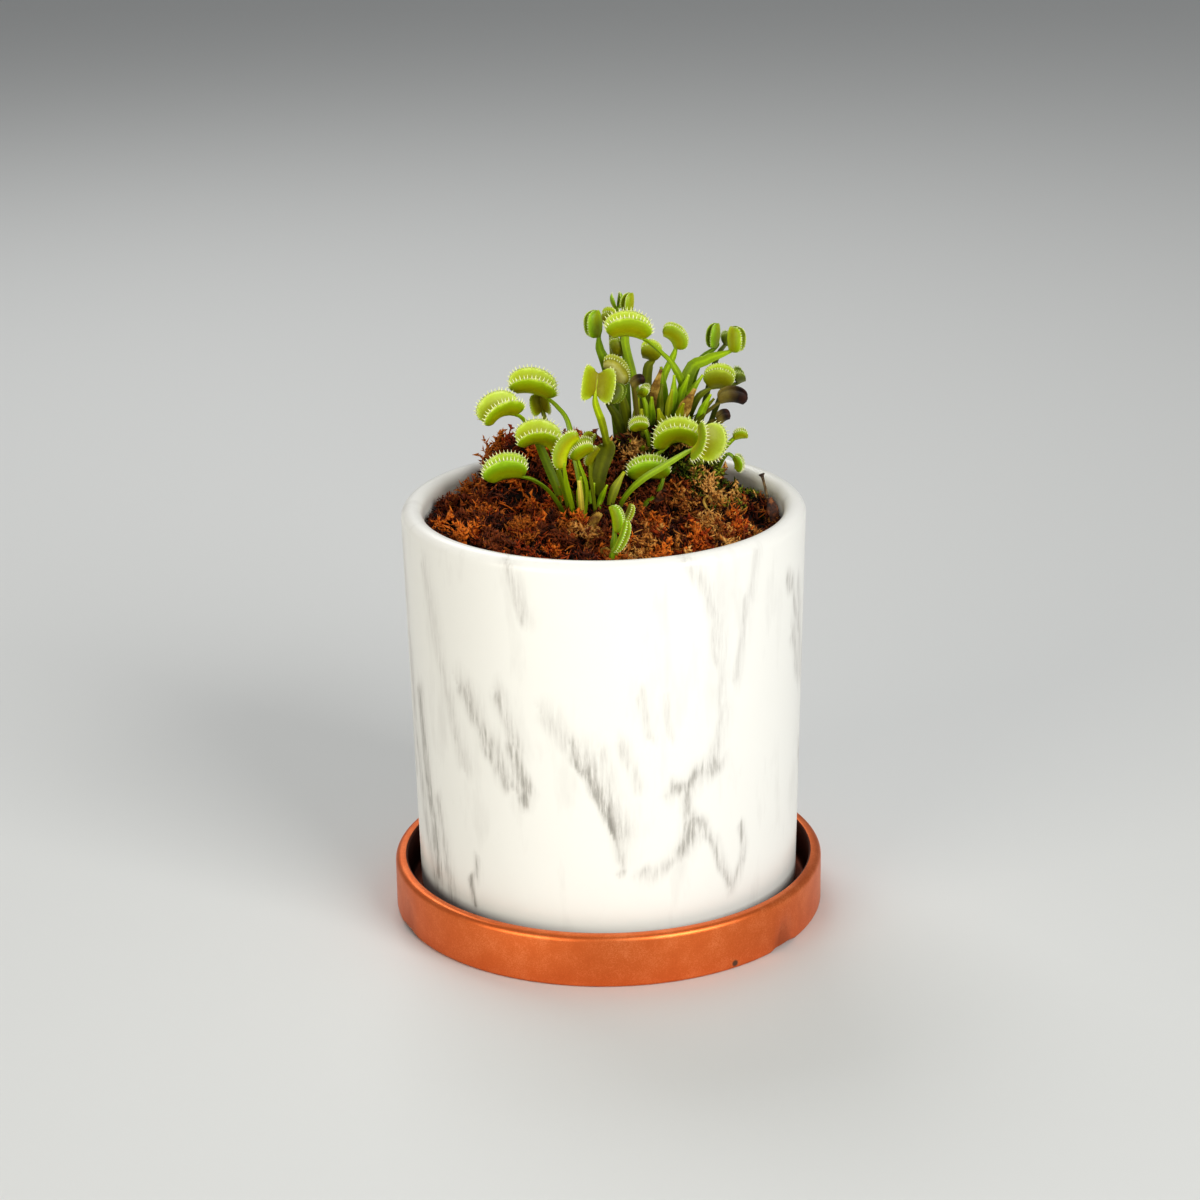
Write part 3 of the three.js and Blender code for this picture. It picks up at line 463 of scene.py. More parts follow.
def spun(profile, closed, steps):
    """A profile of (r, z) points spun round the Z axis."""
    bm = bmesh.new()
    verts = [bm.verts.new(mm(r, 0.0, z)) for r, z in profile]
    edges = [bm.edges.new(pair) for pair in zip(verts, verts[1:])]
    if closed:
        edges.append(bm.edges.new((verts[-1], verts[0])))
    bmesh.ops.spin(bm, geom=verts + edges, cent=(0, 0, 0), axis=(0, 0, 1), angle=FULL_TURN,
                   steps=steps, use_merge=True)
    bmesh.ops.remove_doubles(bm, verts=bm.verts, dist=1e-6)
    bmesh.ops.recalc_face_normals(bm, faces=bm.faces)
    return bm


def saucer():
    """The dish, with its notches pressed up into the bottom edge, and its inside painted darker as shade.
    """
    inner = SAUCER_RADIUS - SAUCER_WALL
    profile = [(0.0, SAUCER_RECESS), (SAUCER_FOOT_INNER, SAUCER_RECESS),
               (SAUCER_FOOT_INNER + SAUCER_RECESS, 0.0), (NOTCH_FROM - NOTCH_STEP, 0.0), (NOTCH_FROM, 0.0)]
    profile += arc(SAUCER_RADIUS - SAUCER_EDGE_ROUND, SAUCER_EDGE_ROUND, SAUCER_EDGE_ROUND, -90, 0, 5)
    profile += arc(SAUCER_RADIUS - SAUCER_LIP_ROUND, SAUCER_HEIGHT - SAUCER_LIP_ROUND,
                   SAUCER_LIP_ROUND, 0, 90, 8)
    profile += arc(inner + SAUCER_INNER_LIP, SAUCER_HEIGHT - SAUCER_INNER_LIP, SAUCER_INNER_LIP, 90, 180, 5)
    profile += arc(inner - SAUCER_INNER_ROUND, SAUCER_FLOOR + SAUCER_INNER_ROUND,
                   SAUCER_INNER_ROUND, 0, -90, 6)
    profile.append((0.0, SAUCER_FLOOR))
    bm = spun(profile, closed=False, steps=TURN_STEPS)
    for vert in bm.verts:
        x, y, z = vert.co / MM
        if math.hypot(x, y) < NOTCH_FROM or z > NOTCH_HEIGHT:
            continue
        for azimuth in NOTCHES:
            turn = math.radians(azimuth)
            across = x * math.sin(turn) - y * math.cos(turn)
            along = x * math.cos(turn) + y * math.sin(turn)
            if along > 0.0:
                inside = NOTCH_WIDTH / 2.0 + NOTCH_SLOPE / 2.0 - abs(across)
                vert.co.z = max(vert.co.z, NOTCH_HEIGHT * smooth(inside / NOTCH_SLOPE) * MM)
    # Faces inside the dish take the dark copper, which is painted shade
    for face in bm.faces:
        x, y, z = face.calc_center_median() / MM
        if z > SAUCER_FLOOR - SHADE_MARGIN and math.hypot(x, y) < inner + SHADE_OVERLAP:
            face.material_index = 1
    paint_and_shade = [
        copper_paint("sprayed_copper_paint", "d46a34", "e0763e", "ec8a54"),
        copper_paint("copper_painted_shade_inside", "50200f", "5c2812", "6c3218"),
    ]
    piece(bm, "saucer_turned", paint_and_shade, node="saucer")


def pot_radius(z):
    return lerp(POT_BASE_RADIUS, POT_LIP_RADIUS, (z - POT_BOTTOM) / (POT_TOP - POT_BOTTOM))


# Strokes of the marbling: points as degrees round the pot from its front towards +X and height in
# millimetres, the stroke's width on its left and right, and its strength
STROKES = [
    ([(-82, 118), (-79, 90), (-76, 60), (-69, 30), (-63, 14)], 2.4, 4, 0.5),
    ([(-70, 76), (-67, 52), (-64, 36), (-61, 20)], 2.2, 3.4, 0.8),
    ([(-60, 44), (-57, 30), (-54, 14)], 1.8, 2.8, 0.5),
    ([(-61, 118), (-57, 100), (-53, 82), (-49, 70), (-45, 61)], 1.6, 3.4, 0.34),
    ([(-51, 80), (-49, 70), (-46, 60)], 1.6, 3.4, 0.4),
    ([(-45, 84), (-40, 75), (-36, 69), (-32, 61), (-29, 57)], 1.6, 4.4, 0.62),
    ([(-32, 86), (-29, 77), (-26.5, 70)], 1.8, 2.8, 0.5),
    ([(-27, 70), (-25, 64), (-22.5, 58), (-24, 53)], 2.6, 1.8, 0.75),
    ([(-37, 68), (-33, 62), (-29, 58)], 1.4, 2.4, 0.6),
    ([(-17, 80), (-13, 74), (-9.5, 69)], 2, 4, 0.36),
    ([(-9.5, 70), (-6.5, 63), (-3.5, 57), (-0.5, 51), (1, 46)], 1, 4.6, 0.85),
    ([(-8, 67), (-5, 60), (-2.5, 54)], 0.8, 1.6, 0.7),
    ([(1, 47), (2.5, 42), (3.5, 37)], 1.2, 2.4, 0.5),
    ([(-2, 70), (0, 62), (3, 53)], 1.6, 3.2, 0.3),
    ([(4.5, 35), (3, 32)], 0.8, 1, 0.6),
    ([(4, 73), (6, 66), (8, 59)], 1.2, 2, 0.4),
    ([(9, 88), (10.5, 81), (12, 75)], 1.2, 1.8, 0.4),
    ([(16, 86), (17, 79), (17.5, 74)], 1, 1.6, 0.34),
    ([(31.5, 64), (28, 62), (24, 59.5), (19.5, 58)], 2.6, 3.2, 0.75),
    ([(22, 57), (22.5, 52), (24.5, 46)], 1.8, 2.4, 0.6),
    ([(24.5, 46), (24, 42), (21.5, 37.5)], 2.6, 2.4, 0.8),
    ([(21.5, 37.5), (17, 34.5), (10, 32)], 2, 2.6, 0.45),
    ([(27, 46), (31, 38), (34, 31), (37.5, 23.5)], 1.1, 1.8, 0.7),
    ([(41.5, 41), (42.5, 34), (42, 30)], 1, 1.4, 0.75),
    ([(42, 30), (40, 25), (37.8, 21)], 1, 1.4, 0.5),
    ([(34, 80), (32.5, 71), (30.5, 63)], 1.8, 2.8, 0.36),
    ([(22, 126), (28, 117), (31, 108), (32, 95)], 1.8, 3.2, 0.38),
    ([(33, 100), (34, 90), (33, 80)], 1.4, 2.2, 0.3),
    ([(42, 110), (40.5, 99), (38.5, 88)], 1.2, 2.4, 0.4),
    ([(46, 124), (44, 111)], 1.2, 2, 0.3),
    ([(-28, 127), (-25, 118), (-23, 110)], 1.8, 2.8, 0.42),
    ([(-42, 32), (-42.5, 25)], 0.8, 1.2, 0.55),
    ([(-44.5, 25), (-43, 17)], 1, 1, 0.95),
]

# A stroke is drawn wider than its widths above, fades out from its middle and ends at a share of its
# width
SMEAR_SPREAD = 1.25
SMEAR_FADE = 1.3
SMEAR_END = 1.6

# The wall's points wander before they are compared with the strokes, so that no stroke is straight:
# the wave's length in degrees and millimetres, and how far it moves them
WAVE_DEG = 5.0
WAVE_LENGTH = 14.0
WANDER_DEG = 1.0
WANDER_Z = 3.0

# The side that the photograph doesn't show
BACK_STROKES = 34
BACK_FROM_DEG = 62.0
BACK_TO_DEG = 276.0
BACK_FROM_Z = 30.0
BACK_TO_Z = 124.0


def back_strokes(rng):
    """Strokes for the side that the photograph doesn't show, in the same drift."""
    strokes = []
    for _ in range(BACK_STROKES):
        angle, z = rng.uniform(BACK_FROM_DEG, BACK_TO_DEG), rng.uniform(BACK_FROM_Z, BACK_TO_Z)
        lean, points = rng.uniform(0.1, 1.1), []
        for _ in range(rng.choice((3, 4, 5))):
            points.append((angle, z))
            angle += lean * rng.uniform(2.0, 5.0)
            z -= rng.uniform(5.0, 10.0)
        strokes.append((points, rng.uniform(1.2, 2.6), rng.uniform(2.2, 5.0), rng.uniform(0.2, 0.62)))
    return strokes


def stroke_strength(angle, z, stroke):
    """How strongly a stroke marks a point of the wall: feathered, more on one side than the other."""
    points, left, right, strength = stroke
    scale = math.radians(1.0) * POT_LIP_RADIUS
    best = 0.0
    for (a0, z0), (a1, z1) in zip(points, points[1:]):
        x, y = (angle - a0) * scale, z - z0
        dx, dy = (a1 - a0) * scale, z1 - z0
        share = min(max((x * dx + y * dy) / (dx * dx + dy * dy), 0.0), 1.0)
        off_x, off_y = x - dx * share, y - dy * share
        reach = SMEAR_SPREAD * (right if off_x * dy - off_y * dx < 0.0 else left)
        gap = math.hypot(off_x, off_y) / reach
        if gap < SMEAR_END:
            best = max(best, strength * math.exp(-SMEAR_FADE * gap * gap))
    return best


def pot():
    """The pot; its smear layer holds how strongly the marbling marks each point of the wall."""
    floor_top = POT_BOTTOM + POT_FLOOR
    lip = POT_WALL / 2.0
    inner_foot = pot_radius(floor_top + POT_INNER_ROUND) - POT_WALL - POT_INNER_ROUND
    edge = pot_radius(POT_BOTTOM + POT_EDGE_ROUND) - POT_EDGE_ROUND
    profile = [(DRAIN_RADIUS, floor_top), (DRAIN_RADIUS, POT_BOTTOM + POT_RECESS),
               (POT_FOOT_INNER, POT_BOTTOM + POT_RECESS), (POT_FOOT_INNER + POT_RECESS, POT_BOTTOM)]
    profile += arc(edge, POT_BOTTOM + POT_EDGE_ROUND, POT_EDGE_ROUND, -90, 0, 8)
    low, high = POT_BOTTOM + POT_EDGE_ROUND, POT_TOP - lip
    for k in range(1, WALL_ROWS):
        z = lerp(low, high, k / WALL_ROWS)
        profile.append((lerp(edge + POT_EDGE_ROUND, POT_LIP_RADIUS, k / WALL_ROWS), z))
    profile += arc(POT_LIP_RADIUS - lip, high, lip, 0, 180, 16)
    profile += arc(inner_foot, floor_top + POT_INNER_ROUND, POT_INNER_ROUND, 0, -90, 6)
    bm = spun(profile, closed=True, steps=POT_STEPS)
    smear = bm.verts.layers.float.new("smear")
    boxes = []
    for stroke in STROKES + back_strokes(random.Random(SEED + 7)):
        angles, heights = zip(*stroke[0])
        pad = SMEAR_END * SMEAR_SPREAD * max(stroke[1], stroke[2])
        turn = math.degrees(pad / POT_LIP_RADIUS)
        boxes.append((min(angles) - turn, max(angles) + turn, min(heights) - pad, max(heights) + pad,
                      stroke))
    for vert in bm.verts:
        x, y, z = vert.co / MM
        if math.hypot(x, y) < POT_BASE_RADIUS - lip:
            continue
        angle = math.degrees(math.atan2(x, -y))
        wave = Vector((angle / WAVE_DEG, z / WAVE_LENGTH, 0.0))
        angle += WANDER_DEG * noise.noise(wave)
        z += WANDER_Z * noise.noise(wave * 1.7 + Vector((9.0, 4.0, 2.0)))
        best = 0.0
        for turned in (angle, angle + 360.0):
            for a0, a1, z0, z1, stroke in boxes:
                if a0 < turned < a1 and z0 < z < z1:
                    best = max(best, stroke_strength(turned, z, stroke))
        vert[smear] = best
    piece(bm, "pot_thrown", [marbled_glaze()], node="pot")


# Moss

# Its lumps: their widths and heights, and how far from the pot's wall they fade out
LUMP_WIDTH = 10.0
LUMP_HEIGHT = 5.0
SMALL_LUMP_WIDTH = 4.0
SMALL_LUMP_HEIGHT = 2.4
LUMP_FADE = 6.0

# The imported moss: squares across its sheet, its depth under the loose moss, and its gap over the
# pot's floor
BASE_SQUARES = 90
PACKED_DEPTH = 1.4
PACKED_GAP = 0.4

# Moss colours, from shaded to lit
MOSS_TONES = {
    "rust": [(0.15, "1c0501"), (0.45, "601a02"), (0.75, "a44004"), (1.1, "d47420")],
    "brown": [(0.15, "120401"), (0.45, "441604"), (0.75, "7c340a"), (1.1, "b0641c")],
    "tan": [(0.15, "401c04"), (0.45, "90501a"), (0.75, "bc7c34"), (1.1, "d8a45c")],
    # The dark kind is painted shade: moss in the shadowed gaps and hollows
    "dark": [(0.15, "060201"), (0.45, "1a0802"), (0.75, "441806"), (1.1, "783812")],
    "green": [(0.15, "101802"), (0.45, "303c04"), (0.75, "5c6c0c"), (1.1, "98a42c")],
}

# How many sprigs lie all over the mound, round the pot's wall and on the slope behind; how many
# clumps there are, and sprigs in one of the width below; how many tufts of living moss and loose
# strands; and how many forms each kind of scrap has
CARPET = 2950
RING = 1100
BACK_SLOPE = 900
CLUMPS = 150
CLUMP_SPRIGS = 18
CLUMP_WIDTH = 4.0
GREEN_FUZZ = 600
LITTER = 3000
FORMS = 8

# Moss lies along the wall within this band of it, no nearer than the gap and no larger than the size
WALL_BAND = 4.6
WALL_GAP = 1.1
WALL_SIZE = 2.0

# Middles of the patches of living moss
GREEN_PATCHES = ((38.0, 17.0), (16.0, 30.0), (30.0, 30.0), (24.0, 20.0))

# A heading drawn from 0 to this is any heading
ANY_WAY = 6.3

# The stems of sprigs and strands, as shares of half their length, and how many leaflets forms have
SPRIG_THICK = 0.05
STRAND_THICK = 0.09
SPRIG_LEAFLETS = 10
TUFT_LEAFLETS = 8


def mound_height(x, y):
    """The mound's height over a place, in millimetres above the table."""
    left = smooth((x - CREST_LEFT_END) / CREST_LEFT_RAMP)
    right = smooth((CREST_RIGHT_END - x) / CREST_RIGHT_RAMP)
    peak = PEAK_RISE * math.exp(-(((x - PEAK_X) / PEAK_SPREAD) ** 2))
    crest_y = CREST_Y_LEFT + CREST_Y_SHIFT * smooth((x - CREST_Y_FROM) / CREST_Y_RAMP)
    spread = CREST_FRONT_SPREAD if y < crest_y else CREST_BACK_SPREAD
    rise = (CREST_RISE * left * right + peak) * smooth((MOSS_RADIUS - math.hypot(x, y)) / MOSS_EDGE_FALL)
    return MOSS_LEVEL + rise * math.exp(-(((y - crest_y) / spread) ** 2))


def ground_height(x, y):
    """The mound's height with its lumps and hollows, which fade out at the pot's wall."""
    edge = smooth((MOSS_RADIUS - math.hypot(x, y)) / LUMP_FADE)
    low = noise.noise(Vector((x / LUMP_WIDTH, y / LUMP_WIDTH, 3.1)))
    high = noise.noise(Vector((x / SMALL_LUMP_WIDTH, y / SMALL_LUMP_WIDTH, 7.7)))
    return mound_height(x, y) + (LUMP_HEIGHT * low + SMALL_LUMP_HEIGHT * high) * edge


def moss_base():
    """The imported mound: a fine round sheet raised to the mound's height and closed below."""
    bm = bmesh.new()
    bmesh.ops.create_grid(bm, x_segments=BASE_SQUARES, y_segments=BASE_SQUARES, size=1.0)
    for vert in bm.verts:
        u, v = vert.co.x, vert.co.y
        x = u * math.sqrt(1.0 - v * v / 2.0) * MOSS_RADIUS
        y = v * math.sqrt(1.0 - u * u / 2.0) * MOSS_RADIUS
        vert.co = mm(x, y, ground_height(x, y) - PACKED_DEPTH)
    border = [edge for edge in bm.edges if edge.is_boundary]
    skirt = bmesh.ops.extrude_edge_only(bm, edges=border)["geom"]
    bottom = POT_BOTTOM + POT_FLOOR + PACKED_GAP
    share = (pot_radius(bottom + POT_INNER_ROUND) - POT_WALL - POT_INNER_ROUND) / MOSS_RADIUS
    for item in skirt:
        if isinstance(item, bmesh.types.BMVert):
            item.co = Vector((item.co.x * share, item.co.y * share, bottom * MM))
    low_edges = [item for item in skirt if isinstance(item, bmesh.types.BMEdge)]
    bmesh.ops.holes_fill(bm, edges=low_edges, sides=0)
    bmesh.ops.recalc_face_normals(bm, faces=bm.faces)
    piece(bm, "moss_packed", [shaded_peat()], node="moss")


def upright_edges(bm, over):
    """The edges that rise by more than a height."""
    return [e for e in bm.edges if abs(e.verts[0].co.z - e.verts[1].co.z) > over]


def bent(curl, t):
    """The x and z of a bent stem, with t from -1 to 1 along it."""
    return math.sin(curl * t) / curl, (1.0 - math.cos(curl * t)) / curl


def stem_form(bm, curl, thick):
    """A thin three-sided stem along X from -1 to 1, bent by curl."""
    bmesh.ops.create_cone(bm, cap_ends=True, segments=3, radius1=thick, radius2=thick, depth=2.0)
    bmesh.ops.subdivide_edges(bm, edges=upright_edges(bm, 1.0), cuts=3)
    for vert in bm.verts:
        a, b, t = vert.co
        x, z = bent(curl, t)
        width = 0.15 + 0.85 * max(0.0, math.cos(t * 1.4))
        vert.co = (x, a * width, z + b * width)


def leaflet(bm, place, heading, length, width):
    """One pointed scrap of leaf, a flat closed wedge from place towards heading."""
    turn = UP.rotation_difference(heading).to_matrix().to_4x4()
    shape = Matrix.Diagonal((width, width * 0.35, length, 1.0))
    matrix = Matrix.Translation(place) @ turn @ shape @ Matrix.Translation((0, 0, 0.5))
    bmesh.ops.create_cone(bm, cap_ends=True, segments=3, radius1=0.5, radius2=0.0, depth=1.0, matrix=matrix)


def sprig_form(rng):
    """A leafy moss branch: a bent stem with scraps of leaf set round it."""
    bm = layered("tone")
    curl = rng.uniform(0.4, 1.3) * rng.choice((-1.0, 1.0))
    stem_form(bm, curl, SPRIG_THICK)
    for k in range(SPRIG_LEAFLETS):
        t = lerp(-0.85, 0.95, k / (SPRIG_LEAFLETS - 1))
        forward = Vector((math.cos(curl * t), 0.0, math.sin(curl * t)))
        round_by = k * 2.4 + rng.uniform(-0.5, 0.5)
        outward = Matrix.Rotation(round_by, 3, forward) @ Vector((0, 1, 0))
        heading = (forward * rng.uniform(0.6, 1.2) + outward).normalized()
        x, z = bent(curl, t)
        leaflet(bm, Vector((x, 0.0, z)), heading, rng.uniform(0.36, 0.66), rng.uniform(0.26, 0.5))
    return stored(bm, "sprig_form")


def tuft_form(rng):
    """The end of a moss branch: scraps of leaf that fan from one point."""
    bm = layered("tone")
    for _ in range(TUFT_LEAFLETS):
        heading = Vector((rng.uniform(-1, 1), rng.uniform(-1, 1), rng.uniform(-0.15, 1.0))).normalized()
        leaflet(bm, heading * 0.1, heading, rng.uniform(0.6, 1.1), rng.uniform(0.34, 0.62))
    return stored(bm, "tuft_form")


def strand_form(rng):
    """A loose torn strand, flat and twisted."""
    bm = layered("tone")
    stem_form(bm, rng.uniform(0.3, 1.5) * rng.choice((-1.0, 1.0)), STRAND_THICK)
    return stored(bm, "strand_form")


def moss_kind(x, y, rng):
    """The colour of moss by where it lies: rust at the left, tan at the right, green at the back, and dark
    moss in the hollows and gaps, which is painted shade.
    """
    right = smooth((x + 6.0) / 26.0)
    green = bell(x, y, 36.0, 20.0, 9.0, 12.0)
    green += 0.9 * bell(x, y, 14.0, 30.0, 12.0, 9.0)
    # Spots where shade falls on the moss, filled with the dark kind as painted shade
    shadow_spots = bell(x, y, 3.0, 14.0, 11.0, 15.0)
    shadow_spots += 0.8 * bell(x, y, 9.0, 27.0, 9.0, 8.0)
    shadow_spots += 0.5 * bell(x, y, -22.0, -26.0, 12.0, 10.0)
    shares = {
        "rust": lerp(1.0, 0.4, right) * (1.0 - 0.7 * shadow_spots), "brown": lerp(0.5, 0.35, right),
        "tan": lerp(0.05, 1.3, right), "dark": 0.25 + 2.5 * shadow_spots, "green": 1.4 * green,
    }
    pick = rng.uniform(0.0, sum(shares.values()))
    for kind, share in shares.items():
        pick -= share
        if pick <= 0.0:
            return kind
    return "brown"


def ground_slope(x, y):
    """The mound's height at a place, and the turn that lays the upright axis on its slope."""
    step = 0.8
    here = ground_height(x, y)
    rise_x = ground_height(x + step, y) - here
    rise_y = ground_height(x, y + step) - here
    normal = Vector((-rise_x / step, -rise_y / step, 1.0)).normalized()
    return here, UP.rotation_difference(normal).to_matrix().to_4x4()


def lay(bm, form, x, y, lift, heading, tilt, size, tone, rng):
    """Lays one moss form on the mound with one tone; near the pot it lies along the wall."""
    from_axis = math.hypot(x, y)
    if from_axis > MOSS_RADIUS - WALL_GAP:
        return
    height, slope = ground_slope(x, y)
    if from_axis > MOSS_RADIUS - WALL_BAND:
        heading, tilt = math.atan2(y, x) + math.pi / 2.0 + rng.gauss(0.0, 0.12), 0.0
        size = min(size, WALL_SIZE)
        slope = Matrix()
    turn = Matrix.Rotation(heading, 4, "Z") @ Matrix.Rotation(tilt, 4, "Y")
    turn = slope @ turn @ Matrix.Rotation(rng.uniform(0.0, FULL_TURN), 4, "X")
    place = Matrix.Translation(mm(x, y, height) + slope @ mm(0, 0, lift))
    copy = form.copy()
    copy.transform(place @ turn @ Matrix.Scale(size * MM, 4))
    copy.attributes["tone"].data.foreach_set("value", [tone] * len(copy.vertices))
    merged(bm, copy)


def round_place(from_axis, around):
    return from_axis * math.cos(around), from_axis * math.sin(around)


def spot(rng, reach):
    """An even random place on a round bed."""
    return round_place(reach * math.sqrt(rng.random()), rng.uniform(0.0, FULL_TURN))


def clump(pieces, sprigs, tufts, rng):
    """A clump of one colour of moss, whose branches flow one way."""
    cx, cy = spot(rng, MOSS_RADIUS - 3.0)
    wide, lift = rng.uniform(2.8, 6.0), rng.uniform(0.6, 3.6)
    flow = rng.uniform(0.0, FULL_TURN)
    kind = moss_kind(cx, cy, rng)
    clump_tone = rng.uniform(0.15, 0.7)
    for _ in range(int(CLUMP_SPRIGS * (wide / CLUMP_WIDTH) ** 2)):
        x, y = cx + rng.gauss(0.0, wide * 0.45), cy + rng.gauss(0.0, wide * 0.45)
        near = math.hypot(x - cx, y - cy) / wide
        swell = lift * max(0.0, 1.0 - near * near)
        # Sprigs raised in a clump's middle take a lighter tone: painted light on its top
        tone = clump_tone + 0.12 * swell + rng.uniform(-0.2, 0.2)
        heading, tilt = flow + rng.gauss(0.0, 0.9), rng.gauss(-0.25, 0.5)
        raised = swell + rng.uniform(-0.9, 0.4)
        forms, sizes = (tufts, (1.6, 2.9)) if rng.random() < 0.35 else (sprigs, (2.4, 4.6))
        lay(pieces[kind], rng.choice(forms), x, y, raised, heading, tilt, rng.uniform(*sizes), tone, rng)


def loose_moss():
    """All the loose moss, as one piece for each colour."""
    rng = random.Random(SEED)
    sprigs = [sprig_form(rng) for _ in range(FORMS)]
    tufts = [tuft_form(rng) for _ in range(FORMS)]
    strands = [strand_form(rng) for _ in range(FORMS)]
    pieces = {kind: layered("tone") for kind in MOSS_TONES}

    def strew(count, where, kinds, forms, lift, tilt, size, tone):
        """Lays forms of the kinds named and of the place's own kind, each with any heading."""
        for _ in range(count):
            x, y = where()
            kind = rng.choice((*kinds, moss_kind(x, y, rng)))
            lay(pieces[kind], rng.choice(forms), x, y, rng.uniform(*lift), rng.uniform(0.0, ANY_WAY),
                rng.gauss(0.0, tilt), rng.uniform(*size), rng.uniform(*tone), rng)

    # The carpet under the clumps keeps to the shaded end of the ramps: painted shade
    strew(CARPET, lambda: spot(rng, MOSS_RADIUS - 1.7), ("brown", "dark"), sprigs,
          lift=(-1.6, -0.2), tilt=0.3, size=(2.2, 3.8), tone=(0.0, 0.5))
    for _ in range(RING):
        around, from_axis = rng.uniform(0.0, FULL_TURN), MOSS_RADIUS - rng.uniform(WALL_GAP, WALL_BAND)
        x, y = round_place(from_axis, around)
        kind = rng.choice(("brown", "dark", moss_kind(x, y, rng), moss_kind(x, y, rng)))
        lay(pieces[kind], rng.choice(sprigs), x, y, rng.uniform(-1.2, 0.8), 0.0, 0.0, WALL_SIZE,
            rng.uniform(0.0, 0.6), rng)
    strew(BACK_SLOPE, lambda: (rng.uniform(-30.0, 36.0), rng.uniform(36.0, 51.0)),
          ("brown", "rust", "dark"), sprigs, lift=(-0.6, 0.8), tilt=0.3, size=(2.2, 4.0), tone=(0.0, 0.7))
    for _ in range(CLUMPS):
        clump(pieces, sprigs, tufts, rng)
    for _ in range(GREEN_FUZZ):
        x, y = rng.choice(GREEN_PATCHES)
        x, y = x + rng.gauss(0.0, 4.0), y + rng.gauss(0.0, 4.0)
        lay(pieces["green"], rng.choice(tufts), x, y, rng.uniform(-0.4, 1.0), rng.uniform(0.0, ANY_WAY),
            0.0, rng.uniform(1.0, 2.0), rng.uniform(0.0, 0.6), rng)
    strew(LITTER, lambda: spot(rng, MOSS_RADIUS - 2.0), ("brown", "dark"), strands,
          lift=(-1.0, 1.4), tilt=0.4, size=(1.4, 4.4), tone=(0.1, 0.8))
    for kind, bm in pieces.items():
        piece(bm, "moss_" + kind, [moss_fibre("sphagnum_" + kind, MOSS_TONES[kind])])
    for form in sprigs + tufts + strands:
        bpy.data.meshes.remove(form)


# Leaves

ROOT_DEPTH = 4.0
NECK_WIDTH = 1.3
STALK_THICK = 1.2
BLADE_END_THICK = 0.4
WRINKLE = 0.12
YOUNG_WRINKLE = 0.5

# Angles from the midrib's plane at which a lobe starts and ends: shut and wide open
SHUT_SPLAY = (56.0, -36.0)
WIDE_SPLAY = (76.0, 32.0)
LOBE_FULLNESS = 0.6

# A lobe's thickness, the ridge of its midrib, and the groove under its margin
LOBE_THICK = 0.32
RIDGE = 0.3
RIDGE_WIDTH = 0.07
GROOVE = 0.12
GROOVE_AT = 0.85
GROOVE_WIDTH = 0.05

# The stalk's end under the midrib: places along the midrib, widths and thicknesses there, and how
# far it lies behind
KEEL = ((-1.0, NECK_WIDTH, 1.1), (-0.6, 0.9, 0.7), (0.0, 0.7, 0.5), (0.7, 0.5, 0.3))
KEEL_BEHIND = 0.15

# Teeth: their thickness, how deep they are rooted, and their lengths on small, shut and open traps
TOOTH_THICK = 0.27
TOOTH_ROOT = 0.25
SMALL_TRAP = 4.7
SMALL_TOOTH = 0.9
SHUT_TOOTH = 0.5
OPEN_TOOTH = 1.45

# Forms of traps: how far the midrib bends and its teeth fan out, in degrees to each side, how deep
# the lobes are at their ends, and how many teeth a lobe has
BROAD = dict(arc=28, fan=58, ends=0.5, teeth=18)
ARCHED = dict(arc=44, fan=66, ends=0.5, teeth=19)
UPRIGHT = dict(arc=26, fan=36, ends=0.5, teeth=12)
SHUT = dict(arc=-24, fan=14, ends=0.24, teeth=12)
BUD = dict(arc=14, fan=16, ends=0.26, teeth=10)
NARROW = dict(arc=12, fan=20, ends=0.45, teeth=14)


def leaf(look, foot, stalk, form=None, neck=None, tip=None, mouth=None, depth=0.0, gape=0.0,
         face=(0, -1, 0.1), stem=None, tooth=None, **changes):
    """A leaf's facts, with its trap's unless it has none; changes are to the form of the trap."""
    trap = {**form, "neck": neck, "tip": tip, "mouth": mouth, "depth": depth, "gape": gape} if form else {}
    return {"look": look, "foot": foot, "stalk": stalk, "trap": {**trap, **changes}, "face": face,
            "stem": stem, "tooth": tooth}


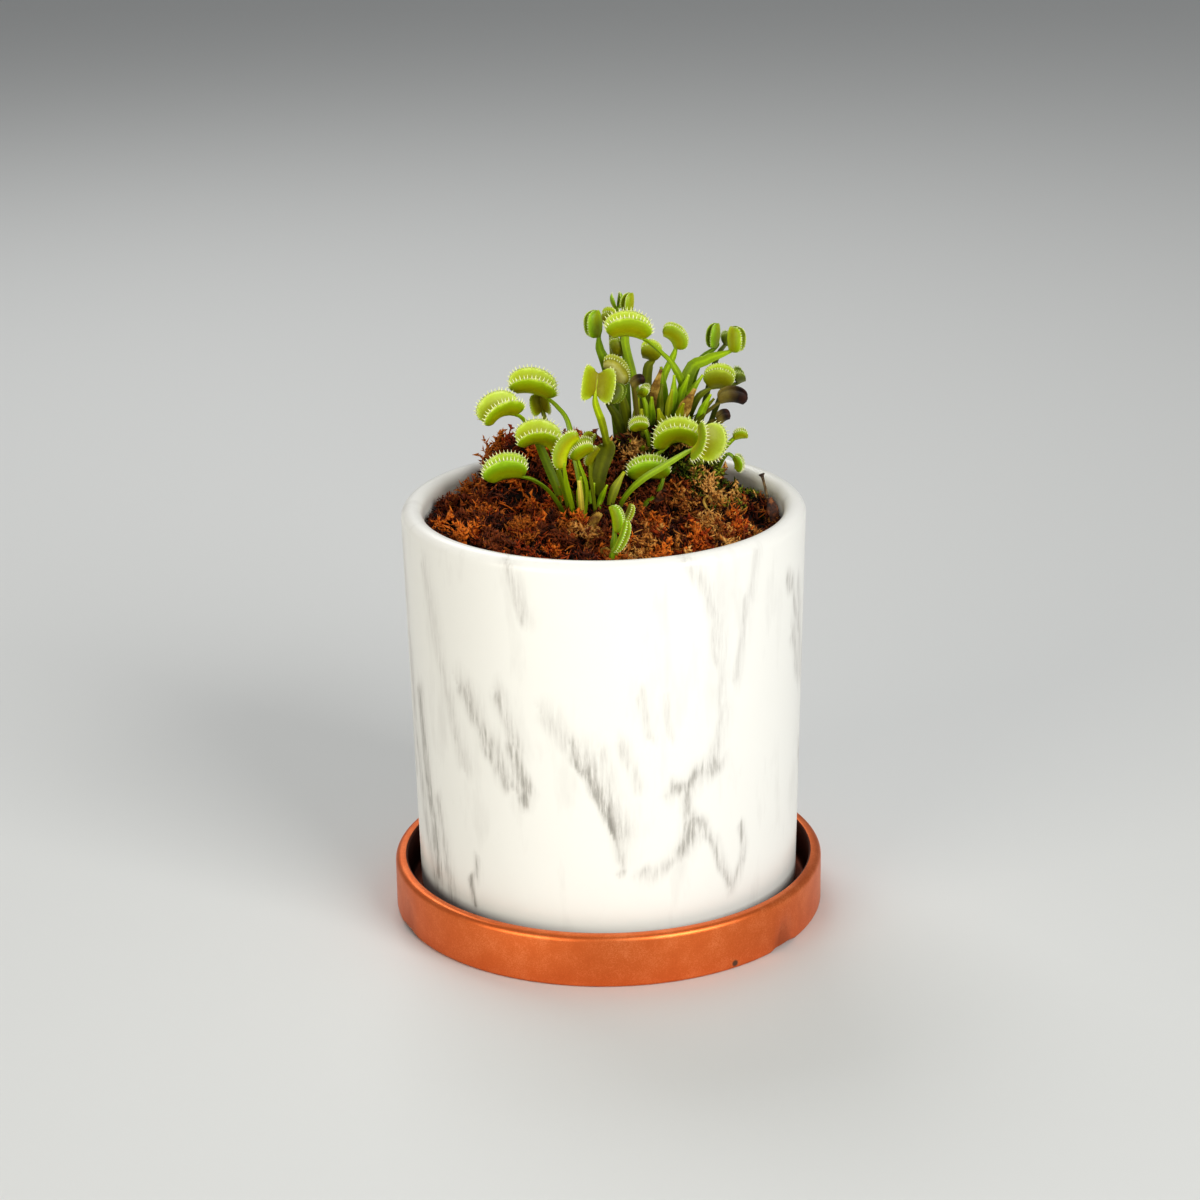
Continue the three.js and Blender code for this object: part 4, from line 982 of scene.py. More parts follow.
# Each leaf: its look, its foot's x, y and width, and its stalk's points and widths; then its trap's
# form, neck, tip, the way its mouth opens, the depth of its lobes and how far it gapes. face is the
# way the stalk's flat side faces, stem a look of the stalk's own, and tooth the length of the teeth.
LEAVES = {
    "leaf_left_1": leaf(
        "green", (-11.5, -2, 2.2), [(-15, -3.5, 130.5, 2.6), (-19.5, -5, 135.2, 2.8)],
        BROAD, (-23.8, -6, 137), (-32.4, -6, 135.3), (-0.05, 0, 1), 8, 0.45, face=(-0.05, 0, 1), arc=22,
        fan=54),
    "leaf_left_2": leaf(
        "lime", (-10.5, 3, 2.6), [(-12, 2.5, 131.2, 3.2), (-13.8, 1.5, 138.3, 3)],
        ARCHED, (-14.9, 1, 142.7), (-23.2, -0.5, 144.5), (-0.05, -0.22, 1), 7.4, 0.58,
        face=(-0.05, -0.08, 1), arc=56, fan=76),
    "leaf_left_3": leaf(
        "lime", (-8.3, -3, 2.2), [(-10.2, -7, 133.7, 2.8)],
        BROAD, (-11.3, -9.5, 140.7), (-6.9, -9, 149.6), (-0.85, 0.2, 0.35), 4.5, 0.25,
        face=(-0.85, 0.2, 0.35)),
    "leaf_left_4": leaf(
        "lime", (-5.4, -1, 2.4), [(-4.9, -2.5, 132.8, 3.2)],
        BROAD, (-7.3, -4, 141.4), (-2.8, -4.5, 144.6), (-0.6, -0.2, 0.75), 5.3, 0.3,
        face=(-0.6, -0.2, 0.75), arc=8, fan=40),
    "leaf_left_5": leaf(
        "lime", (-1.5, 5, 2.4),
        [(-0.9, 5, 133.5, 4.4), (1.6, 4.6, 142.6, 5.6), (1.2, 4.2, 145.2, 2.2), (0, 3.4, 151, 2.5),
         (-1.6, 2.6, 156, 2.2)],
        UPRIGHT, (-1.9, 2.2, 159.4), (-0.9, 3.6, 165.6), (0.1, -0.95, 0.25), 7.4, 0.78,
        face=(-0.3, -0.9, 0.2), stem="wing", tooth=1.3, arc=18, fan=60, ends=0.5),
    "leaf_left_6": leaf(
        "lime", (-6.5, 8, 2), [(-8.2, 9.5, 136.5, 2.2), (-10.2, 13, 147.6, 2), (-13.4, 15, 152.3, 2)],
        ARCHED, (-16.4, 15, 155.3), (-25.6, 14.5, 157.2), (0.1, -0.12, 0.95), 8, 0.58,
        face=(0.1, -0.12, 0.95), arc=24),
    "leaf_left_7": leaf(
        "lime", (-12.5, 7, 2.2), [(-16, 8, 135, 3), (-20.4, 8.4, 146, 2.4), (-23.6, 6.6, 151.3, 2.2)],
        ARCHED, (-25.6, 5, 152.9), (-32.6, 2.4, 150.7), (-0.25, -0.2, 0.95), 8, 0.6,
        face=(-0.25, -0.2, 0.95)),
    "leaf_left_8": leaf(
        "olive", (-11, 13, 1.8), [(-14.5, 19, 138, 1.8)],
        UPRIGHT, (-17.8, 21, 149.6), (-18.8, 21, 154.6), (-0.1, -0.9, 0.3), 4.8, 0.7,
        face=(-0.1, -0.9, 0.3)),
    "leaf_left_9": leaf(
        "olive", (-2.8, 11, 1.8), [(-3.4, 11.5, 135, 2)],
        UPRIGHT, (-3.6, 11, 141), (-2.2, 11, 144.6), (0.1, -0.3, 0.9), 4.2, 0.35, face=(0.1, -0.3, 0.9)),
    "leaf_left_10": leaf(
        "olive", (-2.4, 0, 1.8), [(-3.4, -1, 133, 2.2)],
        NARROW, (-3.9, -1.6, 138.6), (-0.9, -1.6, 144.2), (-0.8, 0, 0.4), 2.6, 0.25, face=(-0.8, 0, 0.4)),
    "leaf_left_11": leaf(
        "yellow", (-6.3, -4.6, 1.8), [(-6.6, -6.5, 130, 1.8), (-7, -7, 136, 1.2)]),
    "leaf_tall_1": leaf(
        "lime", (25, 36, 3),
        [(25.2, 35.5, 152, 2.6), (22.2, 34, 159, 2.2), (18, 31, 164.6, 2), (14.2, 28, 168.6, 1.8)],
        BROAD, (12.6, 26.6, 169.9), (3.5, 26, 170.8), (0, -0.02, 1), 8.2, 0.5, face=(-0.4, -0.5, 0.8),
        arc=24),
    "leaf_tall_2": leaf(
        "lime", (11.5, 37, 2.6), [(10, 38.5, 154, 2.4), (7.4, 40.5, 166, 2.6)],
        SHUT, (9.2, 41, 175), (9.6, 41, 180.6), (-0.7, -0.65, 0), 4.8, 0.06, tooth=0.4),
    "leaf_tall_3": leaf(
        "green", (8.5, 42, 2), [(7.4, 46, 160, 2)],
        BUD, (5.4, 46.5, 174), (5, 48.8, 174.6), (-0.1, 0, 1), 6, 0.06),
    "leaf_tall_4": leaf(
        "olive", (5, 42, 2.2), [(4, 48, 158, 2.4)],
        UPRIGHT, (3, 51.8, 168.2), (0.8, 51.8, 169), (0, -0.1, 1), 5.4, 0.35, tooth=0.7),
    "leaf_tall_5": leaf(
        "green", (4.6, 35, 2.4), [(3.4, 36.5, 150, 2.8), (1.2, 37, 160, 3.2), (-0.4, 36.6, 164.5, 2.6)],
        SHUT, (-0.6, 36, 168.4), (-0.9, 36, 176.6), (-0.9, -0.4, 0.1), 5.8, 0.1, face=(0.2, -1, 0.1),
        tooth=0.6),
    "leaf_tall_6": leaf(
        "olive", (7.5, 38.5, 2.2), [(5.6, 42, 152, 2.2)],
        BUD, (5, 42.5, 160.4), (7.4, 42.5, 161.6), (-0.12, 0, 1), 6.8, 0.12),
    "leaf_tall_7": leaf(
        "olive", (15, 38.5, 2.8), [(14, 41, 150, 3), (14.4, 42, 157, 3)],
        UPRIGHT, (16, 42, 159), (12.6, 42, 160.4), (0.3, -0.1, 0.95), 6.2, 0.3, tooth=0.7),
    "leaf_tall_8": leaf(
        "lime", (17.5, 41.5, 2.4),
        [(17.8, 43.5, 147, 2.6), (19.2, 44.5, 153.5, 2.4), (21.8, 45, 159, 2.2)],
        BROAD, (22.9, 45, 162.2), (19.2, 45, 166.4), (0.6, -0.1, 0.75), 5.6, 0.15, face=(0.3, -1, 0.1),
        tooth=0.7, arc=36),
    "leaf_tall_9": leaf(
        "pale", (8.2, 33.5, 2.4), [(7.4, 32.5, 146, 2.6)],
        BROAD, (4.9, 32, 155), (0.7, 31.5, 160.3), (0.6, -0.1, 0.75), 5.4, 0.3, tooth=0.7, arc=34),
    "leaf_tall_10": leaf(
        "dark", (7, 28.5, 2.4), [(4.6, 26.5, 145.5, 2.8), (2.4, 25.5, 149.6, 2)],
        UPRIGHT, (1.4, 25.2, 152.6), (4, 25.1, 156.8), (0.9, -0.3, 0.1), 4.8, 0.2, tooth=0.4),
    "leaf_tall_11": leaf(
        "lime", (13.6, 30.5, 1.8), [(13.6, 30, 146.5, 1.8)],
        BUD, (12.6, 30, 150.8), (10.8, 30, 152.2), (0, -0.2, 1), 4.4, 0.2),
    "leaf_tall_12": leaf(
        "lime", (14, 24, 1.6), [(14.2, 23.5, 139, 1.6)],
        BROAD, (13, 23.5, 142.6), (9.8, 23.5, 142), (0, -0.15, 1), 4.2, 0.45),
    "dead_leaf_tall": leaf(
        "dead", (11.4, 28.6, 1.6), [(10.4, 26.5, 149.5, 1.4)],
        UPRIGHT, (9.9, 25, 155.3), (13.1, 25, 157.1), (0, -0.2, 1), 3, 0.3, teeth=0),
    "withered_blade_tall": leaf(
        "withered", (16.8, 33, 1.8), [(16.2, 34, 151, 3), (18.2, 34, 158.4, 1)]),
    "leaf_right_1": leaf(
        "lime", (21.5, 43.5, 4.4), [(27, 45, 153.5, 4.4), (32.5, 45.5, 158, 3.4)],
        SHUT, (40, 45.5, 160.8), (40.2, 45.5, 168.6), (0.85, -0.5, 0), 6, 0.1, face=(-0.3, -0.8, 0.5),
        tooth=0.6),
    "leaf_right_2": leaf(
        "green", (24.5, 42.5, 2.6), [(29, 50.5, 153, 2.6)],
        SHUT, (35.6, 52, 160.4), (36.2, 52, 168), (-0.75, -0.6, 0.1), 5.2, 0.06, face=(-0.3, -0.8, 0.3),
        tooth=0.4),
    "leaf_right_3": leaf(
        "dark", (28, 40.5, 2), [(35, 52.5, 154, 1.8)],
        BUD, (38.6, 56, 160), (41, 56, 161), (0.05, 0, 1), 4.4, 0.1, face=(-0.3, -0.8, 0.3)),
    "leaf_right_4": leaf(
        "olive", (26, 38.5, 2.6), [(29.5, 38.5, 147.6, 2.8)],
        BROAD, (33.6, 38.5, 151), (38.2, 38, 150.8), (-0.15, 0.02, 1), 8, 0.35, face=(-0.4, -0.6, 0.7),
        tooth=0.7, fan=48),
    "leaf_right_5": leaf(
        "dark", (30, 39.5, 2), [(37, 45.5, 146.5, 2)],
        BUD, (42.2, 47, 150.2), (44.6, 47, 151.4), (-0.05, -0.2, 1), 5, 0.3, face=(-0.4, -0.6, 0.7)),
    "dead_trap_right": leaf(
        "dead", (27.5, 34, 1.8), [(31.5, 33, 144.6, 1.6)],
        UPRIGHT, (36, 32, 148.2), (43.4, 32, 147.8), (0.05, -0.15, 1), 5, 0.2, face=(-0.3, -0.5, 0.8),
        teeth=0),
    "black_leaf_right": leaf(
        "dead", (30.5, 31, 1.4), [(33, 30.2, 142.6, 1.6)],
        UPRIGHT, (36.2, 29.6, 142.6), (39, 29.6, 144.2), (0.3, -0.1, 0.9), 3.4, 0.4,
        face=(-0.3, -0.5, 0.8), teeth=0),
    "withered_blade_right": leaf(
        "withered", (23.8, 31.5, 2.4), [(25.2, 31, 147, 4), (28.4, 31, 153, 1.2)]),
    "leaf_middle_1": leaf(
        "lime", (5, 2, 2.4),
        [(6.9, 0.4, 128.6, 2.6), (11.6, -1.2, 133.8, 3), (18.4, -0.4, 137.9, 2.8), (24.2, 2, 140.9, 2.2)],
        BROAD, (26.8, 3, 142), (28.6, 4, 148.2), (0.85, -0.52, 0.1), 9, 0.82, face=(-0.4, -0.5, 0.8),
        arc=40, fan=62, ends=0.55),
    "leaf_middle_2": leaf(
        "lime", (11, 18, 2.2), [(14, 17, 134.4, 2.2)],
        ARCHED, (19, 16, 138.6), (26.6, 15.6, 139.4), (0, -0.08, 1), 8, 0.55, face=(-0.4, -0.5, 0.8),
        arc=58, fan=84),
    "leaf_middle_3": leaf(
        "green", (12.5, 5.4, 2), [(16.5, 7, 127.6, 2.2)],
        BROAD, (18, 8, 131.8), (9.7, 8.1, 131.3), (0, -0.05, 1), 7.4, 0.28, face=(-0.4, -0.5, 0.8), arc=16),
    "leaf_middle_4": leaf(
        "lime", (34, 30, 1.6), [(37, 29.4, 134.4, 1.6)],
        BUD, (40, 29, 137.6), (44.4, 28.6, 138.2), (0, -0.1, 1), 3, 0.2),
    "leaf_middle_5": leaf(
        "green", (35, 25, 1.5), [(37.6, 23.6, 134, 1.4)],
        BROAD, (39.6, 23, 133.4), (40.4, 23, 129.6), (0.9, -0.2, 0), 2.8, 0.3, face=(0, -0.5, 1)),
    "leaf_front_1": leaf(
        "green", (2.4, -38, 1.8), [(2.8, -38.5, 126.5, 2.2)],
        NARROW, (3, -38.5, 130), (1.8, -38, 137.6), (0.9, -0.2, 0.1), 3.6, 0.15, face=(0, -1, 0.2),
        tooth=0.6),
    "leaf_front_2": leaf(
        "green", (2, -44.5, 1.6), [(2.1, -45, 124.5, 1.6)],
        NARROW, (2.4, -45.2, 126.4), (6.2, -44.2, 135.6), (0.75, -0.6, -0.1), 2.6, 0.5,
        face=(0, -0.8, 0.6), tooth=0.6),
    "leaf_front_3": leaf(
        "olive", (4.8, -32.5, 1.4), [(5, -33, 127, 1.4)],
        NARROW, (5.4, -33.4, 131.4), (7.8, -32.6, 136.6), (0.8, -0.5, 0), 2, 0.6, face=(0, -0.8, 0.6),
        tooth=0.6, teeth=10),
    "leaf_front_4": leaf(
        "withered", (-3.4, -22.5, 1.4), [(-3.4, -23, 124.4, 1.4)],
        NARROW, (-3.2, -23, 125.6), (-0.4, -22.4, 130.4), (-0.5, -0.5, 0.6), 2.2, 0.7, face=(0, -0.8, 0.6)),
}


class TrapForm:
    """Places on a trap: s runs along the midrib from -1 at the neck to 1 at the tip, and t across
    from one lobe's margin at -1 to the other's at 1."""

    def __init__(self, facts):
        neck, tip = Vector(facts["neck"]), Vector(facts["tip"])
        along = tip - neck
        chord = along.length
        self.along = along.normalized()
        out = Vector(facts["mouth"])
        self.out = (out - self.along * out.dot(self.along)).normalized()
        self.side = self.out.cross(self.along)
        self.arc = math.radians(facts["arc"])
        self.fan = math.radians(facts["fan"])
        self.radius = chord / (2.0 * math.sin(self.arc))
        self.centre = (neck + tip) / 2.0 - self.out * self.radius * math.cos(self.arc)
        self.splay_from = math.radians(lerp(SHUT_SPLAY[0], WIDE_SPLAY[0], facts["gape"]))
        self.splay_to = math.radians(lerp(SHUT_SPLAY[1], WIDE_SPLAY[1], facts["gape"]))
        self.depth = facts["depth"]
        self.ends = facts["ends"]

    def midrib(self, s):
        return (self.centre + self.along * self.radius * math.sin(s * self.arc)
                + self.out * self.radius * math.cos(s * self.arc))

    def outward(self, s, splay, sign):
        """The way out from the midrib, turned by splay towards one side."""
        flat = self.along * math.sin(s * self.fan) + self.out * math.cos(s * self.fan)
        return flat * math.cos(splay) + self.side * (sign * math.sin(splay))

    def place(self, s, t):
        sign = 1.0 if t >= 0.0 else -1.0
        bulge = max(0.0, 1.0 - s * s) ** LOBE_FULLNESS
        reach = self.depth * lerp(self.ends, 1.0, bulge)
        reach *= math.sqrt(1.0 - 0.75 * abs(s) ** 7)
        splay = lerp(self.splay_from, self.splay_to, abs(t))
        turn = self.splay_to - self.splay_from
        rise = reach * (math.sin(splay) - math.sin(self.splay_from)) / turn
        spread = reach * (math.cos(self.splay_from) - math.cos(splay)) / turn
        return self.midrib(s) + self.outward(s, 0.0, 0.0) * rise + self.side * (sign * spread)

    def normal(self, s, t):
        step = 0.02
        along = self.place(min(s + step, 1.0), t) - self.place(max(s - step, -1.0), t)
        across = self.place(s, min(t + step, 1.0)) - self.place(s, max(t - step, -1.0))
        return along.cross(across).normalized()


def sheet_form(columns, rows):
    """A flat sheet from -1 to 1 both ways, to be bent to a lobe's two sides."""
    bm = layered("across", "along")
    bmesh.ops.create_grid(bm, x_segments=columns, y_segments=rows, size=1.0)
    return stored(bm, "sheet_form")


def tube_form(segments, end_radius, cuts):
    """A tube from z = 0, where its radius is 1, to z = 1, closed at both ends."""
    bm = layered("across", "along")
    bmesh.ops.create_cone(bm, cap_ends=True, segments=segments, radius1=1.0, radius2=end_radius, depth=1.0,
                          matrix=Matrix.Translation((0, 0, 0.5)))
    bmesh.ops.subdivide_edges(bm, edges=upright_edges(bm, 0.5), cuts=cuts)
    return bm


def tooth_form():
    """A tooth of length 1, slightly hooked towards +X, pointed at its end."""
    bm = tube_form(5, 0.12, 2)
    for vert in bm.verts:
        vert.co.x += 0.5 * vert.co.z ** 2
    return stored(bm, "tooth_form")


def any_place(rng):
    """A random place in the noise, so that no two leaves wrinkle alike."""
    return Vector([rng.uniform(0, 50) for _ in range(3)])


def square_to(heading, way):
    """The part of way that is square to heading."""
    return (way - heading * way.dot(heading)).normalized()


def lobes(form, rng):
    """Both lobes as one closed blade: an outside and an inside sheet that meet at the margin."""
    bm = bmesh.new()
    drift = any_place(rng)
    for face_side in (1.0, -1.0):
        bm_side = bmesh.new()
        bm_side.from_mesh(SHEET)
        across = bm_side.verts.layers.float["across"]
        along = bm_side.verts.layers.float["along"]
        for vert in bm_side.verts:
            s, t = vert.co.x, vert.co.y
            point, normal = form.place(s, t), form.normal(s, t)
            thick = LOBE_THICK * (max(0.0, 1.0 - t * t) ** 0.35) * (max(0.0, 1.0 - abs(s) ** 9) ** 0.5)
            ridge = RIDGE * math.exp(-((t / RIDGE_WIDTH) ** 2))
            groove = GROOVE * math.exp(-(((abs(t) - GROOVE_AT) / GROOVE_WIDTH) ** 2))
            puff = WRINKLE * noise.noise(point / 2.4 + drift)
            vert.co = (point + normal * (face_side * (thick - groove) + puff - ridge)) * MM
            vert[across] = abs(t)
            vert[along] = (s + 1.0) / 2.0
        for face in bm_side.faces:
            face.material_index = 2 if face_side > 0 else 1
        if face_side < 0:
            bmesh.ops.reverse_faces(bm_side, faces=bm_side.faces)
        merged(bm, stored(bm_side, "side"))
    bmesh.ops.remove_doubles(bm, verts=bm.verts, dist=4e-6)
    bmesh.ops.recalc_face_normals(bm, faces=bm.faces)
    return stored(bm, "lobes")


def curve_at(points, share):
    """A point on a smooth curve through the points, by its share of their number, and its heading."""
    place = share * (len(points) - 1)
    k = min(int(place), len(points) - 2)
    f = place - k
    p1, p2 = points[k], points[k + 1]
    p0 = points[k - 1] if k > 0 else p1 * 2.0 - p2
    p3 = points[k + 2] if k + 2 < len(points) else p2 * 2.0 - p1
    m1, m2 = (p2 - p0) / 2.0, (p3 - p1) / 2.0
    f2, f3 = f * f, f * f * f
    point = (p1 * (2 * f3 - 3 * f2 + 1) + m1 * (f3 - 2 * f2 + f) + p2 * (-2 * f3 + 3 * f2)
             + m2 * (f3 - f2))
    heading = (p1 * (6 * f2 - 6 * f) + m1 * (3 * f2 - 4 * f + 1) + p2 * (6 * f - 6 * f2)
               + m2 * (3 * f2 - 2 * f))
    return point, heading.normalized(), k, f


def blade(points, widths, thicks, face, wrinkle, rng, grain=3.0, cup=0.16, edge=0.45):
    """A closed blade along a curve. cup is how far its sides rise, as a share of its width, edge how
    thick they are beside its middle, and grain the size of its wrinkles."""
    drift = any_place(rng)
    bm = bmesh.new()
    bm.from_mesh(TUBE)
    across_layer = bm.verts.layers.float["across"]
    along_layer = bm.verts.layers.float["along"]
    for vert in bm.verts:
        a, b, share = vert.co
        point, heading, k, f = curve_at(points, share)
        width = lerp(widths[k], widths[k + 1], smooth(f))
        thick = lerp(thicks[k], thicks[k + 1], f)
        normal = square_to(heading, face)
        across = normal.cross(heading)
        wing = abs(a)
        rise = cup * width * wing ** 1.5
        body = b * thick / 2.0 * lerp(1.0, edge, wing)
        puff = wrinkle * noise.noise(point / grain + drift)
        vert.co = (point + across * (a * width / 2.0) + normal * (rise + body + puff)) * MM
        vert[across_layer] = wing
        vert[along_layer] = share
    bmesh.ops.recalc_face_normals(bm, faces=bm.faces)
    return bm


def stalk(facts, form, wrinkle, rng):
    """A stalk: a winged blade with a thick rib, from its root in the moss to along the midrib."""
    x, y, foot_width = facts["foot"]
    ground = Vector((x, y, mound_height(x, y)))
    points = [ground - UP * ROOT_DEPTH, ground + UP] + [Vector(p[:3]) for p in facts["stalk"]]
    widths = [foot_width, foot_width] + [p[3] for p in facts["stalk"]]
    thicks = [STALK_THICK] * len(points)
    if form:
        for s, width, thick in KEEL:
            behind = KEEL_BEHIND if s > -1.0 else 0.0
            points.append(form.midrib(s) - form.outward(s, 0.0, 0.0) * behind)
            widths.append(width)
            thicks.append(thick)
    else:
        thicks[-1] = BLADE_END_THICK
    return stored(blade(points, widths, thicks, Vector(facts["face"]), wrinkle, rng), "stalk")


def teeth(form, count, length, rng):
    """A row of teeth on each lobe's margin, leaning in over the mouth."""
    bm = layered("across", "along")
    for sign in (-1.0, 1.0):
        for k in range(count):
            s = 0.94 * (2.0 * (k + 0.5) / count - 1.0) + rng.uniform(-0.012, 0.012)
            root = form.place(s, sign * 0.985)
            lean = form.splay_to * 0.55 + rng.uniform(-0.09, 0.09)
            axis = form.outward(s, lean, sign)
            axis = (axis + form.along * rng.uniform(-0.07, 0.07)).normalized()
            inward = square_to(axis, -form.side * sign)
            size = length * rng.uniform(0.82, 1.08) * lerp(1.0, 0.7, abs(s) ** 4)
            thick = TOOTH_THICK * min(1.0, 0.45 + length / 2.6)
            third = axis.cross(inward)
            turned = Matrix((inward * thick, third * thick, axis * size)).transposed().to_4x4()
            turned.translation = root - axis * TOOTH_ROOT
            copy = TOOTH.copy()
            copy.transform(Matrix.Scale(MM, 4) @ turned)
            merged(bm, copy)
    for face in bm.faces:
        face.material_index = 3
    return stored(bm, "teeth")


def tooth_length(trap):
    """Long over an open mouth; a shut trap shows only the ends of its crossed teeth."""
    if trap["depth"] < SMALL_TRAP:
        return SMALL_TOOTH
    return lerp(SHUT_TOOTH, OPEN_TOOTH, smooth(trap["gape"] / 0.4))


def leaf_piece(name, facts, rng):
    """A leaf as one piece: its stalk and, if it has a trap, its lobes and teeth."""
    trap = facts["trap"]
    form = TrapForm(trap) if trap else None
    bm = layered("across", "along")
    merged(bm, stalk(facts, form, WRINKLE, rng))
    if form:
        merged(bm, lobes(form, rng))
        if trap["teeth"]:
            merged(bm, teeth(form, trap["teeth"], facts["tooth"] or tooth_length(trap), rng))
    look = facts["look"]
    tissues = list(TISSUES[look])
    if facts["stem"]:
        tissues[0] = TISSUES[facts["stem"]][0]
    piece(bm, name + "_grown", tissues, node=name)


def make_tissues():
    """The materials of each look: of the stalk, a lobe's outside and inside, and the teeth."""
    tissues = {}
    along_stalk = dict(axis="along", patch=4.0, mottle=0.34)
    limp = dict(roughness=0.6, glow=0.0, axis="along", mottle=0.5)
    pale = tooth_tissue("tooth_pale", "eef4b8")
    dull = tooth_tissue("tooth_dull", "b8c878")
    for look in LOBE_OUTSIDE:
        tissues[look] = [
            leaf_tissue("stalk_" + look, STALK[look], rib_highlight=0.45, **along_stalk),
            leaf_tissue("lobe_outside_" + look, LOBE_OUTSIDE[look]),
            leaf_tissue("lobe_inside_" + look, LOBE_INSIDE[look]),
            dull if look == "dark" else pale,
        ]
    tissues["wing"] = [leaf_tissue("stem_wing", WIDE_STALK, rib_highlight=0.6, **along_stalk)]
    tissues["withered"] = [dry_tissue("withered_leaf", "64400c", "947020", "bc9c48")] * 4
    black = dry_tissue("dead_leaf", "140a06", "3a2414", "7c6844")
    shrunk = leaf_tissue("dead_lobe", DEAD_LOBE, **limp)
    tissues["dead"] = [leaf_tissue("dead_stalk", DEAD_STALK, **limp), shrunk, shrunk, black]
    tissues["scrap"] = [black]
    tissues["bark"] = [dry_tissue("dry_bark", "1c0a04", "54290f", "8a5426")]
    return tissues


# Young leaves between the crowns' feet and at the front: foot x, y and width, how far the tip leans
# in x and y, height and look
YOUNG = [
    (9, 25, 2.2, -1.6, -2, 6.5, "lime"), (11.5, 23.5, 2.6, 1, -3, 5, "green"),
    (16, 26, 2.4, 2.4, -2.4, 8, "olive"), (18.5, 28, 3, -1.4, -2, 10, "olive"),
    (20.5, 27, 2.2, 2, -3.4, 6, "green"), (12.6, 28, 2.8, -0.6, -1.6, 12, "olive"),
    (22.6, 30, 2.8, 2.2, -2.2, 9, "olive"), (25.5, 28.5, 3, 1, -3.2, 7, "green"),
    (28, 30, 2.8, 3.4, -2.6, 8, "dark"), (30.5, 28, 2.4, 2, -3, 6.5, "olive"),
    (26.5, 25, 2.8, -2.2, -2.6, 5.5, "green"), (32.5, 31.5, 2.2, 4, -1.6, 6, "olive"),
    (23, 35, 2.6, 3.6, -1, 14, "green"), (25, 37, 2.4, 6, -1, 14, "green"),
    (27.5, 38, 2.2, 7, 0, 12, "olive"), (19.5, 36.5, 2.6, -1.2, 0.5, 16, "green"),
    (10, 31, 2.4, 1.2, -0.6, 14, "olive"), (7, 26.5, 1.8, -2.6, -1, 5, "green"),
    (-9, 4.5, 2.4, -2.4, -1, 9, "olive"), (-4, 3.5, 2.2, 1.4, -0.6, 9, "green"),
    (-7, 2, 2.4, 0.6, -1, 12, "lime"), (1.8, 2.6, 3, 4.6, 0.4, 12.5, "olive"),
    (-1.6, 2, 2, 2.8, -1.4, 9.5, "green"), (3.6, -37, 1.6, -1.4, 0.4, 6, "olive"),
    (15.2, 30, 2.8, 0, -1, 13, "green"), (17.6, 31, 2.4, 0.8, -1, 15, "dark"),
    (19.8, 31.5, 2.4, 1.6, -1, 12, "olive"), (13, 31.5, 2.4, -0.8, -1, 15, "dark"),
    (21.5, 33, 2.6, 0.6, -1, 15, "green"), (29, 33, 2.6, 4.2, -1.4, 12.5, "green"),
]


def young_leaves():
    """Young blades too small for solids of their own, one piece for each look."""
    rng = random.Random(SEED + 3)
    pieces = {}
    for x, y, width, lean_x, lean_y, height, look in YOUNG:
        ground = mound_height(x, y)
        middle = (x + lean_x * 0.35, y + lean_y * 0.2, ground + height * 0.55, width)
        tip = (x + lean_x, y + lean_y, ground + height, width * 0.35)
        face = (rng.uniform(-0.4, 0.4), -1.0, 0.25)
        facts = leaf(look, (x, y, width * 0.7), [middle, tip], face=face)
        if look not in pieces:
            pieces[look] = layered("across", "along")
        merged(pieces[look], stalk(facts, None, YOUNG_WRINKLE, rng))
    for look, bm in pieces.items():
        piece(bm, "young_leaves_" + look, [TISSUES[look][0]])


# Loose things on the moss: a path of points with widths in millimetres, how thick, and the look
SCRAPS = {
    "knobbed_stem": ([(49.8, 8, 121, 0.9), (49, 8, 126, 0.8), (47.8, 8, 131, 0.8), (47.4, 8, 132.6, 1.9)],
                     0.8, "scrap"),
    "bark_flake": ([(50.6, -4.6, 121.6, 2.4), (50, -3.4, 125, 3.6), (49.2, -2, 128.2, 1.6)], 0.5, "bark"),
    "straw_curl": ([(31.4, 4, 122.5, 0.8), (30, 4, 125.4, 0.9), (31, 3.6, 127.2, 0.8),
                    (32.3, 3.4, 125.8, 0.6), (31.8, 3.2, 124.2, 0.5)], 0.4, "withered"),
    "straw_curl_front": ([(0.4, -38.5, 122.2, 0.9), (-0.8, -39, 124.6, 0.9), (0.6, -39.5, 125.6, 0.7),
                          (2.2, -39.5, 124.2, 0.6)], 0.4, "withered"),
    "torn_bark": ([(16, 6, 122, 2.2), (17, 5, 126.5, 3), (18.4, 4.2, 129.4, 1.4)], 0.5, "bark"),
}
SCRAP_FACE = Vector((0.2, -1.0, 0.3))
SCRAP_WRINKLE = 0.35


def scraps():
    """Scraps of stem, bark and straw, each a flat wrinkled blade."""
    rng = random.Random(SEED + 5)
    for name, (path, thick, look) in SCRAPS.items():
        points = [Vector(row[:3]) for row in path]
        widths = [row[3] for row in path]
        bm = blade(points, widths, [thick] * len(path), SCRAP_FACE, SCRAP_WRINKLE, rng,
                   grain=1.5, cup=0.0, edge=1.0)
        piece(bm, name, [TISSUES[look][0]])


# Scene

# Lamps: place in metres, size, power and tint
LAMPS = {
    "key": ((0.85, -1.0, 0.8), 0.8, 15.2, "fffefa"),
    "fill": ((-0.95, -1.05, 0.4), 0.8, 8.0, "fff9ea"),
    "back": ((-0.3, 0.8, 1.1), 0.7, 6.0, "ffffff"),
}
LAMP_AIM = Vector((0, 0, 0.1))
FLOOR_HALF = 3.0


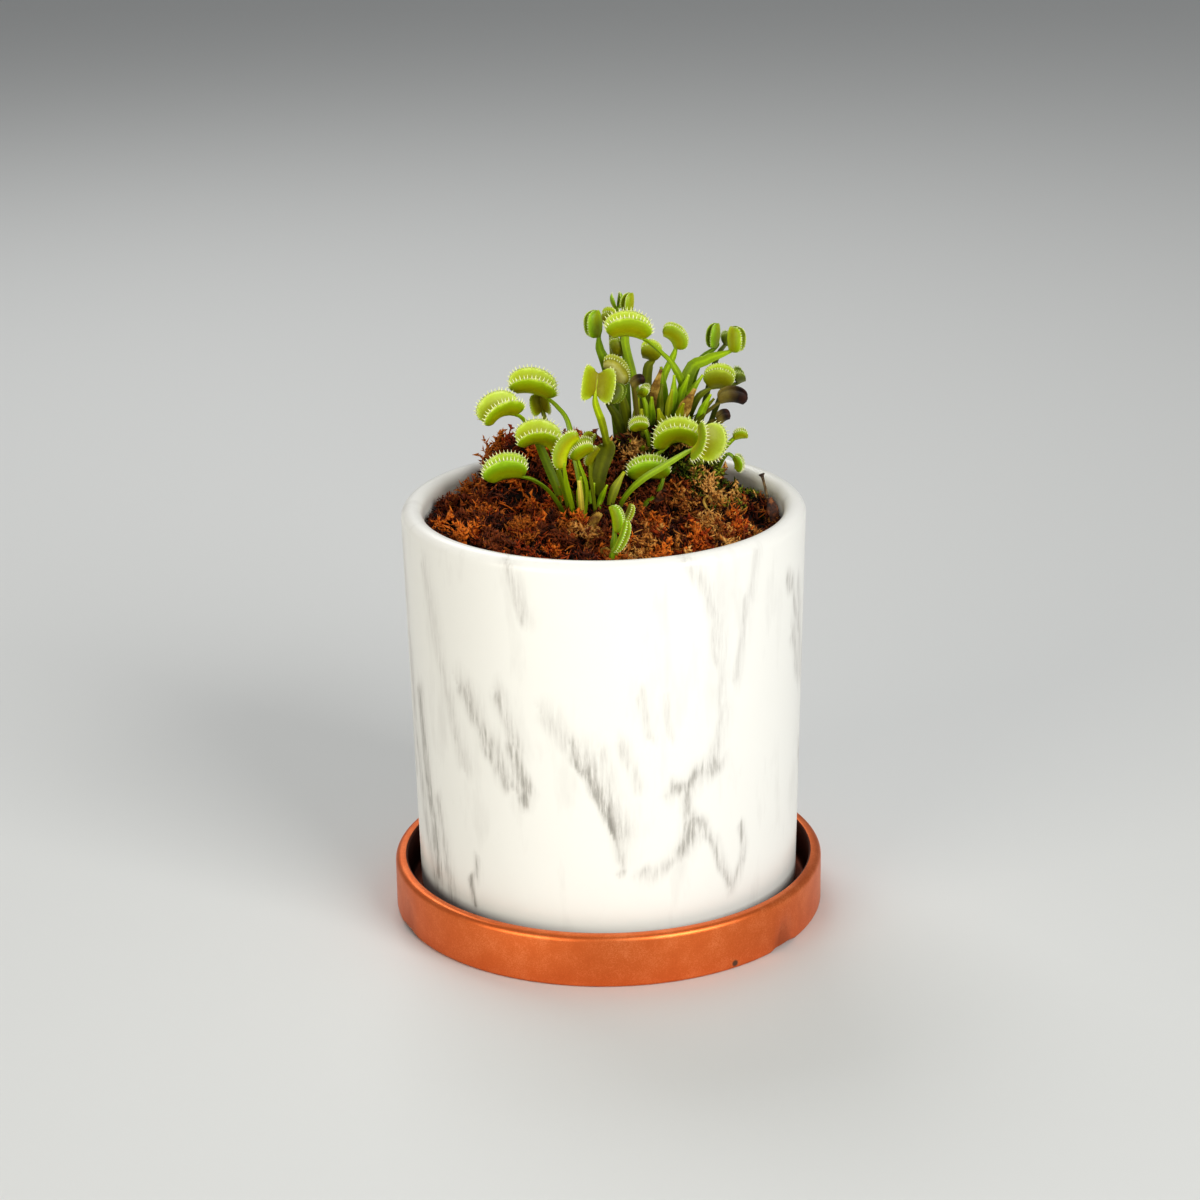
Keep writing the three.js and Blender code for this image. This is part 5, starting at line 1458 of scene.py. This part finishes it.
def stage_and_light():
    """A plain pale floor, soft daylight all round, and three square lamps."""
    bm = bmesh.new()
    bmesh.ops.create_grid(bm, x_segments=1, y_segments=1, size=FLOOR_HALF)
    mesh = stored(bm, "floor")
    pale = coated(blank("pale_floor")[0], {"Base Color": linear("d2d3d2"), "Roughness": 0.6})
    mesh.materials.append(pale)
    floor = placed("floor", mesh)
    floor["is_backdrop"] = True
    scene = bpy.context.scene
    world = bpy.data.worlds.new("studio")
    world.use_nodes = True
    sky = world.node_tree.nodes["Background"]
    sky.inputs["Color"].default_value = linear("eef0f2")
    sky.inputs["Strength"].default_value = 0.3
    scene.world = world
    scene.view_settings.view_transform = "Standard"
    scene.view_settings.look = "Medium High Contrast"
    for name, (place, size, power, tint) in LAMPS.items():
        lamp = bpy.data.lights.new(name, "AREA")
        lamp.shape = "SQUARE"
        lamp.size = size
        lamp.energy = power
        lamp.color = linear(tint)[:3]
        holder = placed(name, lamp)
        holder.location = place
        holder.rotation_euler = (LAMP_AIM - Vector(place)).to_track_quat("-Z", "Y").to_euler()


def camera():
    data = bpy.data.cameras.new("camera")
    data.lens = LENS
    data.sensor_width = SENSOR
    data.clip_start = 0.05
    made = placed("camera", data)
    elevation = math.radians(CAMERA_ELEVATION)
    back = Vector((0.0, -math.cos(elevation), math.sin(elevation)))
    place = (Vector(CAMERA_TARGET) + back * CAMERA_DISTANCE) * MM
    made.matrix_world = (Matrix.Translation(place) @ Matrix.Rotation(math.pi / 2.0 - elevation, 4, "X")
                         @ Matrix.Rotation(-math.radians(CAMERA_ROLL), 4, "Z"))
    bpy.context.scene.camera = made


camera()
stage_and_light()
saucer()
pot()
moss_base()
loose_moss()
SHEET = sheet_form(28, 18)
TUBE = stored(tube_form(12, 1.0, 30), "tube_form")
TOOTH = tooth_form()
TISSUES = make_tissues()
leaf_rng = random.Random(SEED + 1)
for leaf_name, leaf_facts in LEAVES.items():
    leaf_piece(leaf_name, leaf_facts, leaf_rng)
young_leaves()
scraps()
for form in (SHEET, TUBE, TOOTH):
    bpy.data.meshes.remove(form)

visual_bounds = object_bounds()
sizes = {"cad": cad_bounds, "visual": visual_bounds}
sizes = {name: [list(corner) for corner in corners] for name, corners in sizes.items()}
